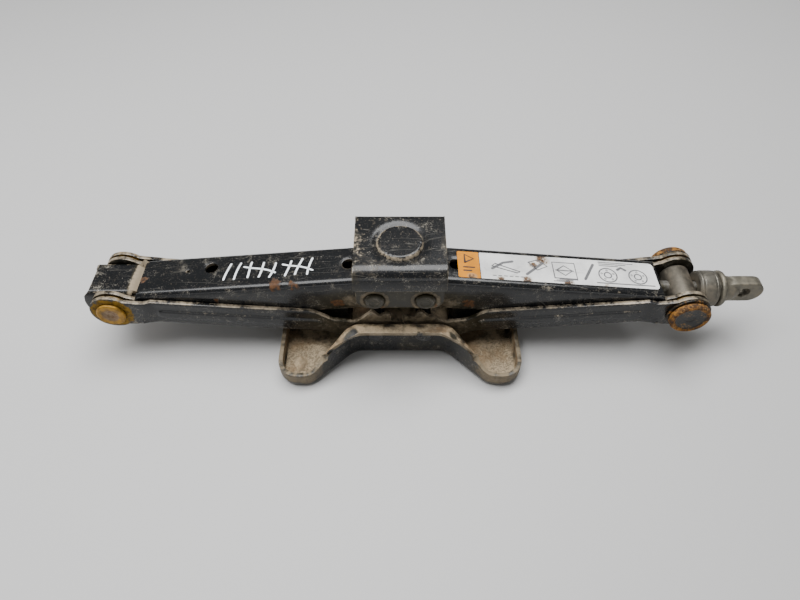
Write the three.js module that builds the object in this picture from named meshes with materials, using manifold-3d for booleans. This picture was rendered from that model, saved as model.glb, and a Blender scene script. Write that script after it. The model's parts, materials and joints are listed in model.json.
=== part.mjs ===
// A folding scissor jack for a car, shown lowered: pressed base, four channel arms geared to each
// other at the middle, a saddle, a lead screw through a nut at the left end and a thrust bearing and
// drive eye at the right end.
// Millimetres. X runs along the screw, Y to the rear, Z up. The origin is the middle of the base's
// underside.
import * as THREE from 'three';
import { mergeVertices } from 'three/addons/utils/BufferGeometryUtils.js';
import Module from 'manifold-3d';

const wasm = await Module();
wasm.setup();

// ---------------------------------------------------------------- driving dimensions
const GAP = 0.3;                 // clearance between pieces that touch or turn on each other
const PIN_X = 15;                // base and saddle pins, either side of the middle
const END_X = 176;               // end pivots, either side of the middle
const BASE_PIN_Z = 21.6;
const SCREW_Z = 36.8;            // end pivots and lead screw
const SADDLE_PIN_Z = 52;
const ARM_LENGTH = Math.hypot(END_X - PIN_X, SCREW_Z - BASE_PIN_Z);
const REST_TILT = Math.atan2(SCREW_Z - BASE_PIN_Z, END_X - PIN_X);

const PIN_R = 5;                 // base and saddle pins
const SPIGOT_R = 6;              // trunnion spigots at the ends
const EAR_R = 13;                // round ends of the arms
const BASE_HEAD_R = 5.6;         // rivet heads at the base
const SADDLE_HEAD_R = 6.2;       // rivet heads at the saddle
const NUT_HEAD_R = 8.7;          // rivet heads at the left end
const BEARING_HEAD_R = 12;       // rivet heads at the right end
const NUT_HEAD_Y = 20;           // underside of those heads, from the middle
const BEARING_HEAD_Y = 21.6;
const ROLL_PIN_R = 1.5;
const ROLL_PIN_X = 203.7;        // pin through the drive eye and the screw
const ARM_SHEET = 2.5;           // sheet thickness of the arms
const BEND_R = 4;                // outer bend radius of the arm channels

const GEAR_R = PIN_X;            // pitch radius of the toothed arm ends
const GEAR_TEETH = 9;            // teeth that a whole turn would hold
const TOOTH = 2.2;               // half the height of a tooth
const BACKLASH = 0.2;            // taken off the toothed outline

const UPPER_IN = 13;             // inside half width of the upper channels
const LOWER_IN = 15.8;           // inside half width of the lower channels
const LOWER_SHEET = 2.4;
const LOWER_END_IN = 17.3;       // where the lower ears are set out at the end pivots
const LOWER_TOOTH_IN = 18;       // where they are set out at the base
const LOWER_WEB = -10.7;         // underside of the lower channels, from the pin line
const UPPER_WEB = 9.3;           // top of the upper channels, from the pin line
const LOWER_TOP = 10.5;          // top edge of the lower flanges
const LOWER_TOP_INNER = 5;       // the same edge near the base
const LOWER_WEB_START = 16;      // inner end of the lower webs, from the inner pin
const LOWER_WEB_STOP = 18.4;     // their outer end, short of the end pivot
const UPPER_WEB_START = 3;
const UPPER_WEB_STOP = 16.5;
const WASHER_OUT = 17;           // outer face of the washers between upper and lower ears

const BASE_X = 76;               // half length of the base
const BASE_Y = 49.5;             // half width over the feet
const BASE_WAIST_Y = 24;         // half width at the ears
const BASE_SHEET = 2.5;
const BASE_WALL = 13;            // wall height round the feet
const BASE_EAR_TOP = 30.5;       // wall height at the ears
const LEDGE_Y = 31.7;            // outer edge of the ledge over the ears

const PAD_TOP = 76.5;
const PAD_X = 27;                // half length of the saddle
const PAD_Y = 25.3;              // half width of the saddle
const PAD_SHEET = 3;
const PAD_BEND_R = 8.5;          // outer bend at the front of the saddle
const PAD_REAR_BEND_R = 3.2;     // and at the rear
const PAD_WALL = 13.4;           // depth of the saddle's side walls
const BOSS_R = 12.8;
const BOSS_Y = 1.3;              // the boss sits a little behind the middle
const BOSS_RISE = 0.8;
const CHEEK_IN = 20;             // inner face of the saddle's cheeks, from the middle
const CHEEK_OUT = 22.5;
const CHEEK_FOOT = 45;
const CHEEK_TOP = 67.5;

const SCREW_R = 5.5;
const SCREW_LEFT = -193;
const THREAD_LEFT = -187;        // the thread's ends
const THREAD_RIGHT = 162;
const STOP_SEAT_R = 4;           // left end of the screw, which carries the stop ring
const JOURNAL_R = 5;             // plain right end of the screw
const JOURNAL_END = 205;
const NUT_HALF = 9;              // half length of the nut along the screw
const BAR_R = 9;                 // round trunnion at the right end
const CUP_R = 11.5;
const CUP_X = 185.3;             // left face of the bearing cup
const CUP_END = 197;
const HUB_R = 9;
const HUB_X = 195.6;             // left face of the drive eye's hub
const FLANGE_X = 198.5;          // left face of the drive eye's flange
const FLANGE_END = 202;
const NECK_R = 7.5;
const EYE_TIP = 228;
const EYE_HALF_HEIGHT = 8;
const EYE_HALF_THICK = 4;
const EYE_HOLE_R = 4;
const BALLS = 8;
const BALL_R = 1.4;
const BALL_RING_R = 7.2;
const BALL_X = 191.7;

// ---------------------------------------------------------------- finishes
const finish = (color, roughness, metalness) => () =>
  new THREE.MeshStandardMaterial({ color, roughness, metalness });
const blackPaint = finish(0x15171a, 0.35, 0.2);
const dustyPaint = finish(0x2b2a25, 0.6, 0.1);
const zincSteel = finish(0xa08a55, 0.5, 0.8);
const wornSteel = finish(0x84827a, 0.5, 0.9);
const brightSteel = finish(0xb9bbbd, 0.25, 1);
const rustySteel = finish(0x8d5a2c, 0.8, 0.5);
const greasedSteel = finish(0x55524a, 0.45, 0.8);
const whitePaper = finish(0xdcdcd6, 0.6, 0);
const orangePaper = finish(0xe6982a, 0.6, 0);

// ---------------------------------------------------------------- solids
const ROUND = 24;                // sides of a large round piece
const SMALL_ROUND = 16;
const TINY_ROUND = 12;

// A closed three.js geometry as a solid that can be joined and cut.
function solid(geometry) {
  geometry.deleteAttribute('normal');
  geometry.deleteAttribute('uv');
  const merged = mergeVertices(geometry, 1e-4);
  const vertProperties = merged.attributes.position.array;
  const triVerts = new Uint32Array(merged.index.array);
  return new wasm.Manifold(new wasm.Mesh({ numProp: 3, vertProperties, triVerts }));
}

const join = (...pieces) => pieces.reduce((whole, piece) => whole.add(piece));
const cut = (whole, ...tools) => tools.reduce((left, tool) => left.subtract(tool), whole);

// A solid as a named mesh.
function mesh(name, made, material) {
  const { vertProperties, triVerts } = made.getMesh();
  const geometry = new THREE.BufferGeometry();
  geometry.setAttribute('position', new THREE.BufferAttribute(vertProperties, 3));
  geometry.setIndex(new THREE.BufferAttribute(triVerts, 1));
  geometry.computeVertexNormals();
  const piece = new THREE.Mesh(geometry, material());
  piece.name = name;
  return piece;
}

const radians = THREE.MathUtils.degToRad;
const polar = (r, angle, x = 0, y = 0) => [x + r * Math.cos(angle), y + r * Math.sin(angle)];

// Points on an arc, both ends included. Angles in degrees.
function arc(x, y, r, from, to, steps) {
  const at = (i) => radians(from + ((to - from) * i) / steps);
  return Array.from({ length: steps + 1 }, (_, i) => polar(r, at(i), x, y));
}

// A closed outline of [x, y] or [x, y, r] points; a third number rounds that corner.
function outline(points) {
  const places = points.map(([x, y]) => new THREE.Vector2(x, y));
  const rounded = points.flatMap(([x, y, r], i) => {
    if (!r) return [places[i]];
    const here = places[i];
    const back = places.at(i - 1).clone().sub(here).normalize();
    const on = places[(i + 1) % places.length].clone().sub(here).normalize();
    const half = Math.acos(THREE.MathUtils.clamp(back.dot(on), -1, 1)) / 2;
    const middle = back.clone().add(on).normalize().multiplyScalar(r / Math.sin(half));
    const centre = here.clone().add(middle);
    const first = here.clone().addScaledVector(back, r / Math.tan(half)).sub(centre);
    const turn = (Math.PI - 2 * half) * Math.sign(back.cross(on)) * -1;
    const steps = Math.max(2, Math.round(Math.abs(turn) / radians(18)));
    return Array.from({ length: steps + 1 }, (_, k) =>
      first.clone().rotateAround(new THREE.Vector2(), (turn * k) / steps).add(centre));
  });
  return new THREE.Shape(rounded);
}

// Extrudes an outline by depth, and turns its local axes to the given ones.
function extrude(shape, depth, xAxis, yAxis, zAxis, bevel = {}) {
  const geometry = new THREE.ExtrudeGeometry(shape, { depth, bevelEnabled: false, ...bevel });
  return geometry.applyMatrix4(new THREE.Matrix4().makeBasis(xAxis, yAxis, zAxis));
}

const X = new THREE.Vector3(1, 0, 0);
const Y = new THREE.Vector3(0, 1, 0);
const Z = new THREE.Vector3(0, 0, 1);
const MINUS_Y = new THREE.Vector3(0, -1, 0);

// An outline in the X-Z plane, filled from y0 to y1.
const plate = (shape, y0, y1) => solid(extrude(shape, y1 - y0, X, Z, MINUS_Y).translate(0, y1, 0));
// The same plate in front and behind, between two distances from the middle.
const plates = (shape, near, far) => join(plate(shape, near, far), plate(shape, -far, -near));
// An outline in the X-Y plane, filled from z0 to z1.
const slab = (shape, z0, z1) => solid(extrude(shape, z1 - z0, X, Y, Z).translate(0, 0, z0));
// An outline in the Y-Z plane, filled from x0 to x1.
const bar = (shape, x0, x1) => solid(extrude(shape, x1 - x0, Y, Z, X).translate(x0, 0, 0));
// A block between two corners.
function block([x0, y0, z0], [x1, y1, z1]) {
  const box = new THREE.BoxGeometry(x1 - x0, y1 - y0, z1 - z0);
  return solid(box.translate((x0 + x1) / 2, (y0 + y1) / 2, (z0 + z1) / 2));
}

// A round piece from a closed [radius, height] profile, about Y, X or Z through a point.
function turned(profile, axis, [x, y, z], sides = ROUND) {
  const points = profile.map(([r, h]) => new THREE.Vector2(r, h));
  const geometry = new THREE.LatheGeometry(points, sides);
  if (axis === 'x') geometry.rotateZ(-Math.PI / 2);
  if (axis === 'z') geometry.rotateX(Math.PI / 2);
  return solid(geometry.translate(x, y, z));
}

const rod = (r, from, to) => [[0, from], [r, from], [r, to], [0, to]];
const ring = (rIn, rOut, from, to) =>
  [[rIn, from], [rOut, from], [rOut, to], [rIn, to], [rIn, from]];

// ---------------------------------------------------------------- arms
// Arms are drawn in the X-Z plane from their inner pin at (0, 0) to their end pin at (ARM_LENGTH, 0).

// The wavy toothed end round the inner pin, from one angle to another, in degrees. A phase of 0
// puts a tooth, and of 0.5 a gap, on the line to the arm's partner when the jack is down.
function teeth(from, to, phase, tilt) {
  const steps = Math.round(Math.abs(to - from) / 5);
  const contact = Math.PI - tilt;
  return Array.from({ length: steps + 1 }, (_, i) => {
    const angle = radians(from + ((to - from) * i) / steps);
    const wave = Math.cos(GEAR_TEETH * (angle - contact) + phase * 2 * Math.PI);
    return polar(GEAR_R - BACKLASH + TOOTH * wave, angle);
  });
}

// Side view of a lower arm's flange. Its web is below, and rounds off under the flange.
function lowerFlange(phase) {
  const bottom = LOWER_WEB + BEND_R;
  const tilt = REST_TILT;
  return outline([
    [40, LOWER_TOP, 12], [30, LOWER_TOP_INNER, 10], [13.5, LOWER_TOP_INNER, 3], [9.5, 9, 2],
    ...teeth(76, 204, phase, tilt),
    ...arc(0, 0, 12.6, 210, 285, 6),
    [16, bottom - 2], [20, bottom], [ARM_LENGTH - 22, bottom], [ARM_LENGTH - 16, -9.5, 3],
    ...arc(ARM_LENGTH, 0, EAR_R, 232, 488, 20),
    [ARM_LENGTH - 13, LOWER_TOP - 0.7, 4], [ARM_LENGTH - 20, LOWER_TOP - 0.7, 3],
    [ARM_LENGTH - 24, LOWER_TOP, 3],
  ].reverse());
}

// Side view of an upper arm's flange. Its web is on top; the flange deepens towards the saddle.
function upperFlange(phase) {
  const top = UPPER_WEB - BEND_R;
  const tilt = -REST_TILT;
  return outline([
    ...teeth(286, 160, phase, tilt),
    ...arc(0, 0, 10.8, 152, 70, 6),
    [9, top], [ARM_LENGTH - 20, top], [ARM_LENGTH - 14, 6.5, 3],
    ...arc(ARM_LENGTH, 0, EAR_R, 140, -130, 20),
    [ARM_LENGTH - 20, -9.5, 6], [30, -14, 10], [10, -14, 4],
  ]);
}

// Plan view of one flange strip of a lower arm: set out at both ends, with a jog between. side is
// 1 for the rear strip and -1 for the front one.
function lowerStrip(side) {
  const jogs = [
    [-20, LOWER_TOOTH_IN], [24, LOWER_TOOTH_IN], [32, LOWER_IN],
    [ARM_LENGTH - 26, LOWER_IN], [ARM_LENGTH - 19, LOWER_END_IN], [ARM_LENGTH + 14, LOWER_END_IN],
  ];
  const outside = jogs.map(([x, y]) => [x, y + LOWER_SHEET]).reverse();
  return outline([...jogs, ...outside].map(([x, y]) => [x, y * side]));
}

// The web of an arm with its two bends, as a shallow trough from x0 to x1.
function web(halfIn, sheet, outer, x0, x1) {
  const up = -Math.sign(outer);
  const out = halfIn + sheet;
  const edge = outer + up * (BEND_R + 2);
  const inner = outer + up * sheet;
  const bend = BEND_R - sheet;
  const section = [
    [-out, edge], [-out, outer, BEND_R], [out, outer, BEND_R], [out, edge],
    [halfIn, edge], [halfIn, inner, bend], [-halfIn, inner, bend], [-halfIn, edge],
  ];
  return bar(outline(up > 0 ? section : section.reverse()), x0, x1);
}

const throughHole = (r, x, z) => turned(rod(r, -40, 40), 'y', [x, 0, z], SMALL_ROUND);
const webHole = (r, x, y, z) => turned(rod(r, -3, 3), 'z', [x, y, z], SMALL_ROUND);

function lowerArm(phase) {
  const side = lowerFlange(phase);
  const tall = 20;
  const strips = join(slab(lowerStrip(1), -tall, tall), slab(lowerStrip(-1), -tall, tall));
  const flanges = plate(side, -30, 30).intersect(strips);
  const bead = outline([
    [34, -4.2, 3.4], [ARM_LENGTH - 27, -4.2, 3.4], [ARM_LENGTH - 27, 3, 3.4], [34, 3, 3.4],
  ]);
  const beadRise = LOWER_IN + LOWER_SHEET + 0.9;
  const beads = plates(bead, LOWER_IN + 1, beadRise);
  const webEnd = ARM_LENGTH - LOWER_WEB_STOP;
  const floor = web(LOWER_IN, LOWER_SHEET, LOWER_WEB, LOWER_WEB_START, webEnd);
  return cut(
    join(flanges, floor, beads),
    throughHole(PIN_R + GAP, 0, 0),
    throughHole(SPIGOT_R + GAP, ARM_LENGTH, 0),
  );
}

// holes: [radius, distance from the inner pin, distance to the side] of the holes in the web.
function upperArm(phase, holes) {
  const side = upperFlange(phase);
  const top = web(UPPER_IN, ARM_SHEET, UPPER_WEB, UPPER_WEB_START, ARM_LENGTH - UPPER_WEB_STOP);
  return cut(
    join(plates(side, UPPER_IN, UPPER_IN + ARM_SHEET), top),
    throughHole(PIN_R + GAP, 0, 0),
    throughHole(SPIGOT_R + GAP, ARM_LENGTH, 0),
    ...holes.map(([r, x, y]) => webHole(r, x, y, UPPER_WEB - 1)),
  );
}

// ---------------------------------------------------------------- base
const mirrored = (quarter) => {
  const half = [...quarter, ...quarter.map(([x, y, r]) => [-x, y, r]).reverse()];
  return [...half, ...half.map(([x, y, r]) => [x, -y, r]).reverse()];
};

// Plan of the base, drawn in from its outside by an inset.
function basePlan(inset) {
  return outline(mirrored([
    [BASE_X - inset, BASE_Y - inset, 13 - inset],
    [55.5 - inset * 0.4, BASE_Y - inset, 14 - inset],
    [29.5 - inset * 0.4, BASE_WAIST_Y - inset, 14 + inset],
  ]).reverse());
}

// Height of the base's edge along X, lowered by a drop, as an outline down to a level.
function baseProfile(drop, down) {
  const tops = [
    [33, BASE_EAR_TOP - drop, 10], [53, BASE_WALL - drop, 8], [BASE_X + 5, BASE_WALL - drop],
  ];
  const right = [...tops, [BASE_X + 5, down]];
  const left = right.map(([x, z, r]) => [-x, z, r]).reverse();
  return outline([...left, ...right].reverse());
}

function basePlate() {
  const foot = 2.5;              // outer bend radius under the walls
  const bevel = {
    bevelEnabled: true, bevelThickness: foot, bevelSize: foot, bevelOffset: -foot,
    bevelSegments: 3,
  };
  const outside = extrude(basePlan(0), 40, X, Y, Z, bevel).translate(0, 0, foot);
  const inside = slab(basePlan(BASE_SHEET), BASE_SHEET, 60);
  const tray = solid(outside).subtract(inside).intersect(plate(baseProfile(0, -1), -60, 60));
  const ledgePlan = [
    [46, 40.2], [27, LEDGE_Y, 8], [-27, LEDGE_Y, 8], [-46, 40.2],
    [-30, BASE_WAIST_Y - 1], [30, BASE_WAIST_Y - 1],
  ];
  const ledgeAt = (side) => slab(outline(ledgePlan.map(([x, y, r]) => [x, y * side, r])), 0, 60);
  const band = plate(baseProfile(0, -1), -60, 60).subtract(
    plate(baseProfile(BASE_SHEET, -2), -61, 61));
  const ledge = join(ledgeAt(1), ledgeAt(-1)).intersect(band);
  const domeR = 13;
  const domeRise = 4;
  const ball = (domeR ** 2 + domeRise ** 2) / (2 * domeRise);
  const cap = arc(0, 0, ball, 90, 50, 4).map(([x, y]) => [Math.max(x, 0), y - ball + domeRise]);
  const domeProfile = (level) => [
    [0, -6], [cap.at(-1)[0], -6], ...cap.map(([r, h]) => [r, h + level]).reverse(),
  ];
  const spots = [[50, 27], [-50, 27], [50, -27], [-50, -27]];
  const domes = spots.map(([x, y]) =>
    turned(domeProfile(BASE_SHEET), 'z', [x, y, 0], TINY_ROUND).intersect(
      block([-80, -50, 0.5], [80, 50, 20])));
  const hollows = spots.map(([x, y]) => turned(domeProfile(0), 'z', [x, y, 0], TINY_ROUND));
  return cut(
    join(tray, ledge, ...domes),
    ...hollows,
    ...[-PIN_X, PIN_X].map((x) => throughHole(PIN_R + GAP, x, BASE_PIN_Z)),
  );
}

// A pin with a domed rivet head on each end. reach is where the heads start, from the middle.
function rivet(r, headR, reach, headHeight, axisPoint) {
  const top = reach + headHeight;
  const half = [
    [r, reach], [headR, reach], [headR, top - 0.9], [headR - 0.9, top], [headR * 0.45, top],
    [headR * 0.3, top - 0.5], [0, top - 0.5],
  ];
  const below = half.map(([x, y]) => [x, -y]).reverse();
  return turned([...below, ...half], 'y', axisPoint, SMALL_ROUND);
}

// ---------------------------------------------------------------- saddle
function saddleCap() {
  const wallEnd = PAD_TOP - PAD_WALL;
  const inner = PAD_Y - PAD_SHEET + 0.5;
  const ceiling = PAD_TOP - PAD_SHEET;
  const section = outline([
    [-PAD_Y, wallEnd], [-inner, wallEnd], [-inner, ceiling, PAD_BEND_R - PAD_SHEET],
    [inner, ceiling, 0.7], [inner, wallEnd], [PAD_Y, wallEnd],
    [PAD_Y, PAD_TOP, PAD_REAR_BEND_R], [-PAD_Y, PAD_TOP, PAD_BEND_R],
  ]);
  const moatDepth = 1.3;
  const moat = [
    [0, 4], [BOSS_R + 5, 4], [BOSS_R + 5, 0], [BOSS_R + 1.5, -moatDepth], [0, -moatDepth],
  ].reverse();
  const boss = [
    [0, -2], [BOSS_R + 0.6, -2], [BOSS_R + 0.6, -moatDepth], [BOSS_R, BOSS_RISE - 0.5],
    [BOSS_R - 0.7, BOSS_RISE], [0, BOSS_RISE],
  ];
  return join(
    cut(bar(section, -PAD_X, PAD_X), turned(moat, 'z', [0, BOSS_Y, PAD_TOP])),
    turned(boss, 'z', [0, BOSS_Y, PAD_TOP]),
  );
}

function saddleCheek(side) {
  const shape = outline([
    [-PAD_X + 1, CHEEK_FOOT, 7], [PAD_X - 1, CHEEK_FOOT, 7],
    [PAD_X - 1, CHEEK_TOP, 2], [-PAD_X + 1, CHEEK_TOP, 2],
  ]);
  const [y0, y1] = side > 0 ? [CHEEK_IN, CHEEK_OUT] : [-CHEEK_OUT, -CHEEK_IN];
  return cut(
    plate(shape, y0, y1),
    ...[-PIN_X, PIN_X].map((x) => throughHole(PIN_R + GAP, x, SADDLE_PIN_Z)),
  );
}

// ---------------------------------------------------------------- left end: nut and its housing
// Drawn round the end pivot at (0, 0, 0).
function nutHousing() {
  const plateTop = 10.5;
  const sheet = 2;
  const out = UPPER_IN - GAP;
  const reach = 12.5;
  const r = 18;
  const startAngle = THREE.MathUtils.radToDeg(Math.asin(plateTop / r));
  const endAngle = THREE.MathUtils.radToDeg(Math.acos(reach / r));
  const cheek = outline([
    [reach, plateTop - 2], [reach - 2, plateTop],
    ...arc(0, 0, r, 180 - startAngle, 360 - endAngle, 16),
  ]);
  const roof = outline([
    [-13.5, plateTop - sheet], [10.5, plateTop - sheet], [14, 6.5], [21, 6.5], [21, 8.1],
    [14.5, 8.1], [11.5, plateTop], [-13.5, plateTop],
  ]);
  return cut(
    join(plates(cheek, out - sheet, out), plate(roof, -out + 0.8, out - 0.8)),
    throughHole(SPIGOT_R + GAP, 0, 0),
  );
}

function trunnionNut() {
  const half = 8.2;
  const spigot = rivet(SPIGOT_R, NUT_HEAD_R, NUT_HEAD_Y, 2.5, [0, 0, 0]);
  const body = plate(outline([
    [-NUT_HALF, -half, 2], [NUT_HALF, -half, 2], [NUT_HALF, half, 2], [-NUT_HALF, half, 2],
  ]), -10.4, 10.4);
  return cut(join(spigot, body), turned(rod(SCREW_R + GAP, -30, 30), 'x', [0, 0, 0]));
}

const washer = (rIn, rOut, near, far, side) =>
  turned(ring(rIn, rOut, side > 0 ? near : -far, side > 0 ? far : -near), 'y', [0, 0, 0]);

// ---------------------------------------------------------------- right end: bearing and drive eye
// The trunnion is drawn round its pivot at (0, 0, 0); the rest in place along the screw.
function bearingTrunnion() {
  const bored = turned(rod(JOURNAL_R + GAP, -30, 30), 'x', [0, 0, 0], SMALL_ROUND);
  const body = turned(rod(BAR_R, -(UPPER_IN - GAP), UPPER_IN - GAP), 'y', [0, 0, 0]);
  const spigot = rivet(SPIGOT_R, BEARING_HEAD_R, BEARING_HEAD_Y, 4.4, [0, 0, 0]);
  return cut(join(spigot, body), bored);
}

const onScrew = [0, 0, SCREW_Z];

function bearingCup() {
  const wall = 1.8;
  const inside = CUP_R - wall;
  const back = CUP_X + 2.4;
  return turned([
    [JOURNAL_R + GAP, CUP_X], [CUP_R - 1, CUP_X], [CUP_R, CUP_X + 1], [CUP_R, CUP_END - 0.6],
    [CUP_R - 0.6, CUP_END], [inside, CUP_END], [inside, back], [JOURNAL_R + GAP, back],
    [JOURNAL_R + GAP, CUP_X],
  ], 'x', onScrew);
}

const race = (x0, x1) => turned(ring(JOURNAL_R + GAP, 9.4, x0, x1), 'x', onScrew, SMALL_ROUND);

const ballPlaces = Array.from({ length: BALLS }, (_, i) => {
  const [y, z] = polar(BALL_RING_R, (i * 2 * Math.PI) / BALLS, 0, SCREW_Z);
  return [BALL_X, y, z];
});

function ballCage() {
  const half = 0.5;
  const plain = turned(ring(5.4, 9.2, BALL_X - half, BALL_X + half), 'x', onScrew);
  const pockets = ballPlaces.map(([x, y, z]) =>
    turned(rod(BALL_R + GAP, x - 2, x + 2), 'x', [0, y, z], 8));
  return cut(plain, ...pockets);
}

// The hole for the roll pin, through the drive eye and the screw.
const rollPinHole = () =>
  turned(rod(ROLL_PIN_R + GAP, -20, 20), 'y', [ROLL_PIN_X, 0, SCREW_Z], TINY_ROUND);

function leadScrew() {
  return cut(
    turned([
      [0, SCREW_LEFT], [STOP_SEAT_R, SCREW_LEFT], [STOP_SEAT_R, THREAD_LEFT], [SCREW_R, THREAD_LEFT],
      [SCREW_R, THREAD_RIGHT], [JOURNAL_R, THREAD_RIGHT + 1], [JOURNAL_R, JOURNAL_END],
      [0, JOURNAL_END],
    ], 'x', onScrew),
    rollPinHole(),
  );
}

function driveEye() {
  const bore = JOURNAL_R + GAP;
  const boreEnd = JOURNAL_END + 2 * GAP;
  const neckEnd = FLANGE_END + 6.5;
  const round = turned([
    [bore, HUB_X], [HUB_R, HUB_X], [HUB_R, FLANGE_X - GAP], [CUP_R - 0.8, FLANGE_X],
    [CUP_R, FLANGE_X + 0.8], [CUP_R, FLANGE_END - 0.8], [CUP_R - 0.8, FLANGE_END],
    [NECK_R + 1, FLANGE_END + 0.4], [NECK_R, FLANGE_END + 1.4], [NECK_R, neckEnd],
    [0, neckEnd], [0, boreEnd], [bore, boreEnd], [bore, HUB_X],
  ], 'x', onScrew);
  const tipX = EYE_TIP - EYE_HALF_HEIGHT;
  const low = SCREW_Z - EYE_HALF_HEIGHT;
  const high = SCREW_Z + EYE_HALF_HEIGHT;
  const lug = outline([
    [206.5, low + 0.7], [212, low], ...arc(tipX, SCREW_Z, EYE_HALF_HEIGHT, -90, 90, 14),
    [212, high], [206.5, high - 0.7],
  ]);
  return cut(
    join(round, plate(lug, -EYE_HALF_THICK, EYE_HALF_THICK)),
    turned(rod(EYE_HOLE_R, -9, 9), 'y', [EYE_TIP - 12, 0, SCREW_Z], SMALL_ROUND),
    rollPinHole(),
  );
}

// ---------------------------------------------------------------- labels on the right upper arm
const LABEL_LIFT = GAP;
const LABEL_THICK = 0.4;

function label(x0, x1, halfWidth, cornerR) {
  const z0 = UPPER_WEB + LABEL_LIFT;
  const shape = outline([
    [x0, -halfWidth, cornerR], [x1, -halfWidth, cornerR],
    [x1, halfWidth, cornerR], [x0, halfWidth, cornerR],
  ]);
  return slab(shape, z0, z0 + LABEL_THICK);
}

// ---------------------------------------------------------------- assembly
const group = new THREE.Group();

// A sub-group at a place. An arm on the left is the same arm turned half round about Z.
function placed(x, z, side, tilt, ...pieces) {
  const holder = new THREE.Group();
  holder.rotation.order = 'ZYX';
  holder.position.set(x * side, 0, z);
  holder.rotation.z = side > 0 ? 0 : Math.PI;
  holder.rotation.y = -tilt;
  holder.add(...pieces);
  group.add(holder);
}

group.add(mesh('base_plate', basePlate(), dustyPaint));
group.add(mesh('saddle_cap', saddleCap(), blackPaint));

const SIDES = [['left', -1], ['right', 1]];
const FACES = [['front', -1], ['rear', 1]];
const WEB_HOLES = {
  left: [[4.2, 15.3, 0], [4.2, 101, -4], [1.3, 115.5, -2.5]],
  right: [[4.2, 18, 0]],
};

for (const [name, side] of SIDES) {
  const phase = side > 0 ? 0 : 0.5;
  const lower = mesh('lower_arm_' + name, lowerArm(phase), blackPaint);
  placed(PIN_X, BASE_PIN_Z, side, REST_TILT, lower);
  const upper = mesh('upper_arm_' + name, upperArm(phase, WEB_HOLES[name]), blackPaint);
  placed(PIN_X, SADDLE_PIN_Z, side, -REST_TILT, upper);
  const basePin = rivet(PIN_R, BASE_HEAD_R, BASE_WAIST_Y + GAP, 2.3, [side * PIN_X, 0, BASE_PIN_Z]);
  group.add(mesh('base_pin_' + name, basePin, dustyPaint));
  const saddlePin = rivet(PIN_R, SADDLE_HEAD_R, CHEEK_OUT + GAP, 2.2, [side * PIN_X, 0, SADDLE_PIN_Z]);
  group.add(mesh('saddle_pin_' + name, saddlePin, dustyPaint));
  for (const [face, turn] of FACES) {
    const bush = mesh(`saddle_bush_${name}_${face}`,
      washer(PIN_R + GAP, 9, LOWER_IN, CHEEK_IN - GAP, turn * side), greasedSteel);
    placed(PIN_X, SADDLE_PIN_Z, side, 0, bush);
    const spacer = mesh(`pivot_washer_${name}_${face}`,
      washer(SPIGOT_R + GAP, 11.5, LOWER_IN, WASHER_OUT, turn * side), zincSteel);
    placed(END_X, SCREW_Z, side, 0, spacer);
  }
}

for (const [face, turn] of FACES) {
  group.add(mesh('saddle_cheek_' + face, saddleCheek(turn), dustyPaint));
  const rimWasher = mesh('head_washer_' + face,
    washer(SPIGOT_R + GAP, EAR_R, NUT_HEAD_Y, BEARING_HEAD_Y - GAP, turn), rustySteel);
  placed(END_X, SCREW_Z, 1, 0, rimWasher);
}

placed(END_X, SCREW_Z, -1, 0, mesh('trunnion_nut', trunnionNut(), zincSteel));
const housing = mesh('nut_housing', nutHousing(), blackPaint);
housing.position.set(-END_X, 0, SCREW_Z);
group.add(housing);
placed(END_X, SCREW_Z, 1, 0, mesh('bearing_trunnion', bearingTrunnion(), wornSteel));

group.add(mesh('lead_screw', leadScrew(), greasedSteel));
const stopRing = ring(STOP_SEAT_R + GAP, 8, SCREW_LEFT + 2, THREAD_LEFT - GAP);
group.add(mesh('screw_stop', turned(stopRing, 'x', onScrew, SMALL_ROUND), greasedSteel));
group.add(mesh('bearing_cup', bearingCup(), wornSteel));
group.add(mesh('thrust_race_inner', race(CUP_X + 2.7, BALL_X - BALL_R - GAP), brightSteel));
group.add(mesh('thrust_race_outer', race(BALL_X + BALL_R + GAP, 195.3), brightSteel));
group.add(mesh('ball_cage', ballCage(), brightSteel));
ballPlaces.forEach(([x, y, z], i) => {
  const ball = new THREE.SphereGeometry(BALL_R, 8, 5).translate(x, y, z);
  group.add(mesh('thrust_ball_' + (i + 1), solid(ball), brightSteel));
});
group.add(mesh('drive_eye', driveEye(), wornSteel));
group.add(mesh('eye_roll_pin',
  turned(rod(ROLL_PIN_R, -7.2, 7.2), 'y', [ROLL_PIN_X, 0, SCREW_Z], TINY_ROUND), greasedSteel));

placed(PIN_X, SADDLE_PIN_Z, 1, -REST_TILT,
  mesh('instruction_label', label(33, ARM_LENGTH - UPPER_WEB_STOP - 2, 11, 2), whitePaper),
  mesh('warning_label', label(19, 32, 11, 1), orangePaper));

export default group;
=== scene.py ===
import json
from math import acos, asin, cos, degrees, hypot, pi, radians, sin, tan

import bmesh
import bpy
import numpy as np
from bpy.props import FloatProperty, FloatVectorProperty, IntProperty, PointerProperty
from mathutils import Euler, Matrix, Vector, geometry, noise


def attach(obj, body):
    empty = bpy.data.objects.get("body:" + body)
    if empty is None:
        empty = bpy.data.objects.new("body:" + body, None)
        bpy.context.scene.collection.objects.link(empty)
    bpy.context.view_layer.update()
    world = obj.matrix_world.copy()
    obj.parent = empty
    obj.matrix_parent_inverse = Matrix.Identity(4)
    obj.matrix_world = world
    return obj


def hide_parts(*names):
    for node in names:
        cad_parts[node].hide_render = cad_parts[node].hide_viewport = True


bl_info = {
    "name": "Folding Scissor Jack",
    "version": (1, 0, 0),
    "blender": (4, 5, 0),
    "location": "3D View > Sidebar > Jack",
    "description": "Builds the finished surfaces of a folding scissor jack round its packed frame",
    "category": "Object",
}

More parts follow.
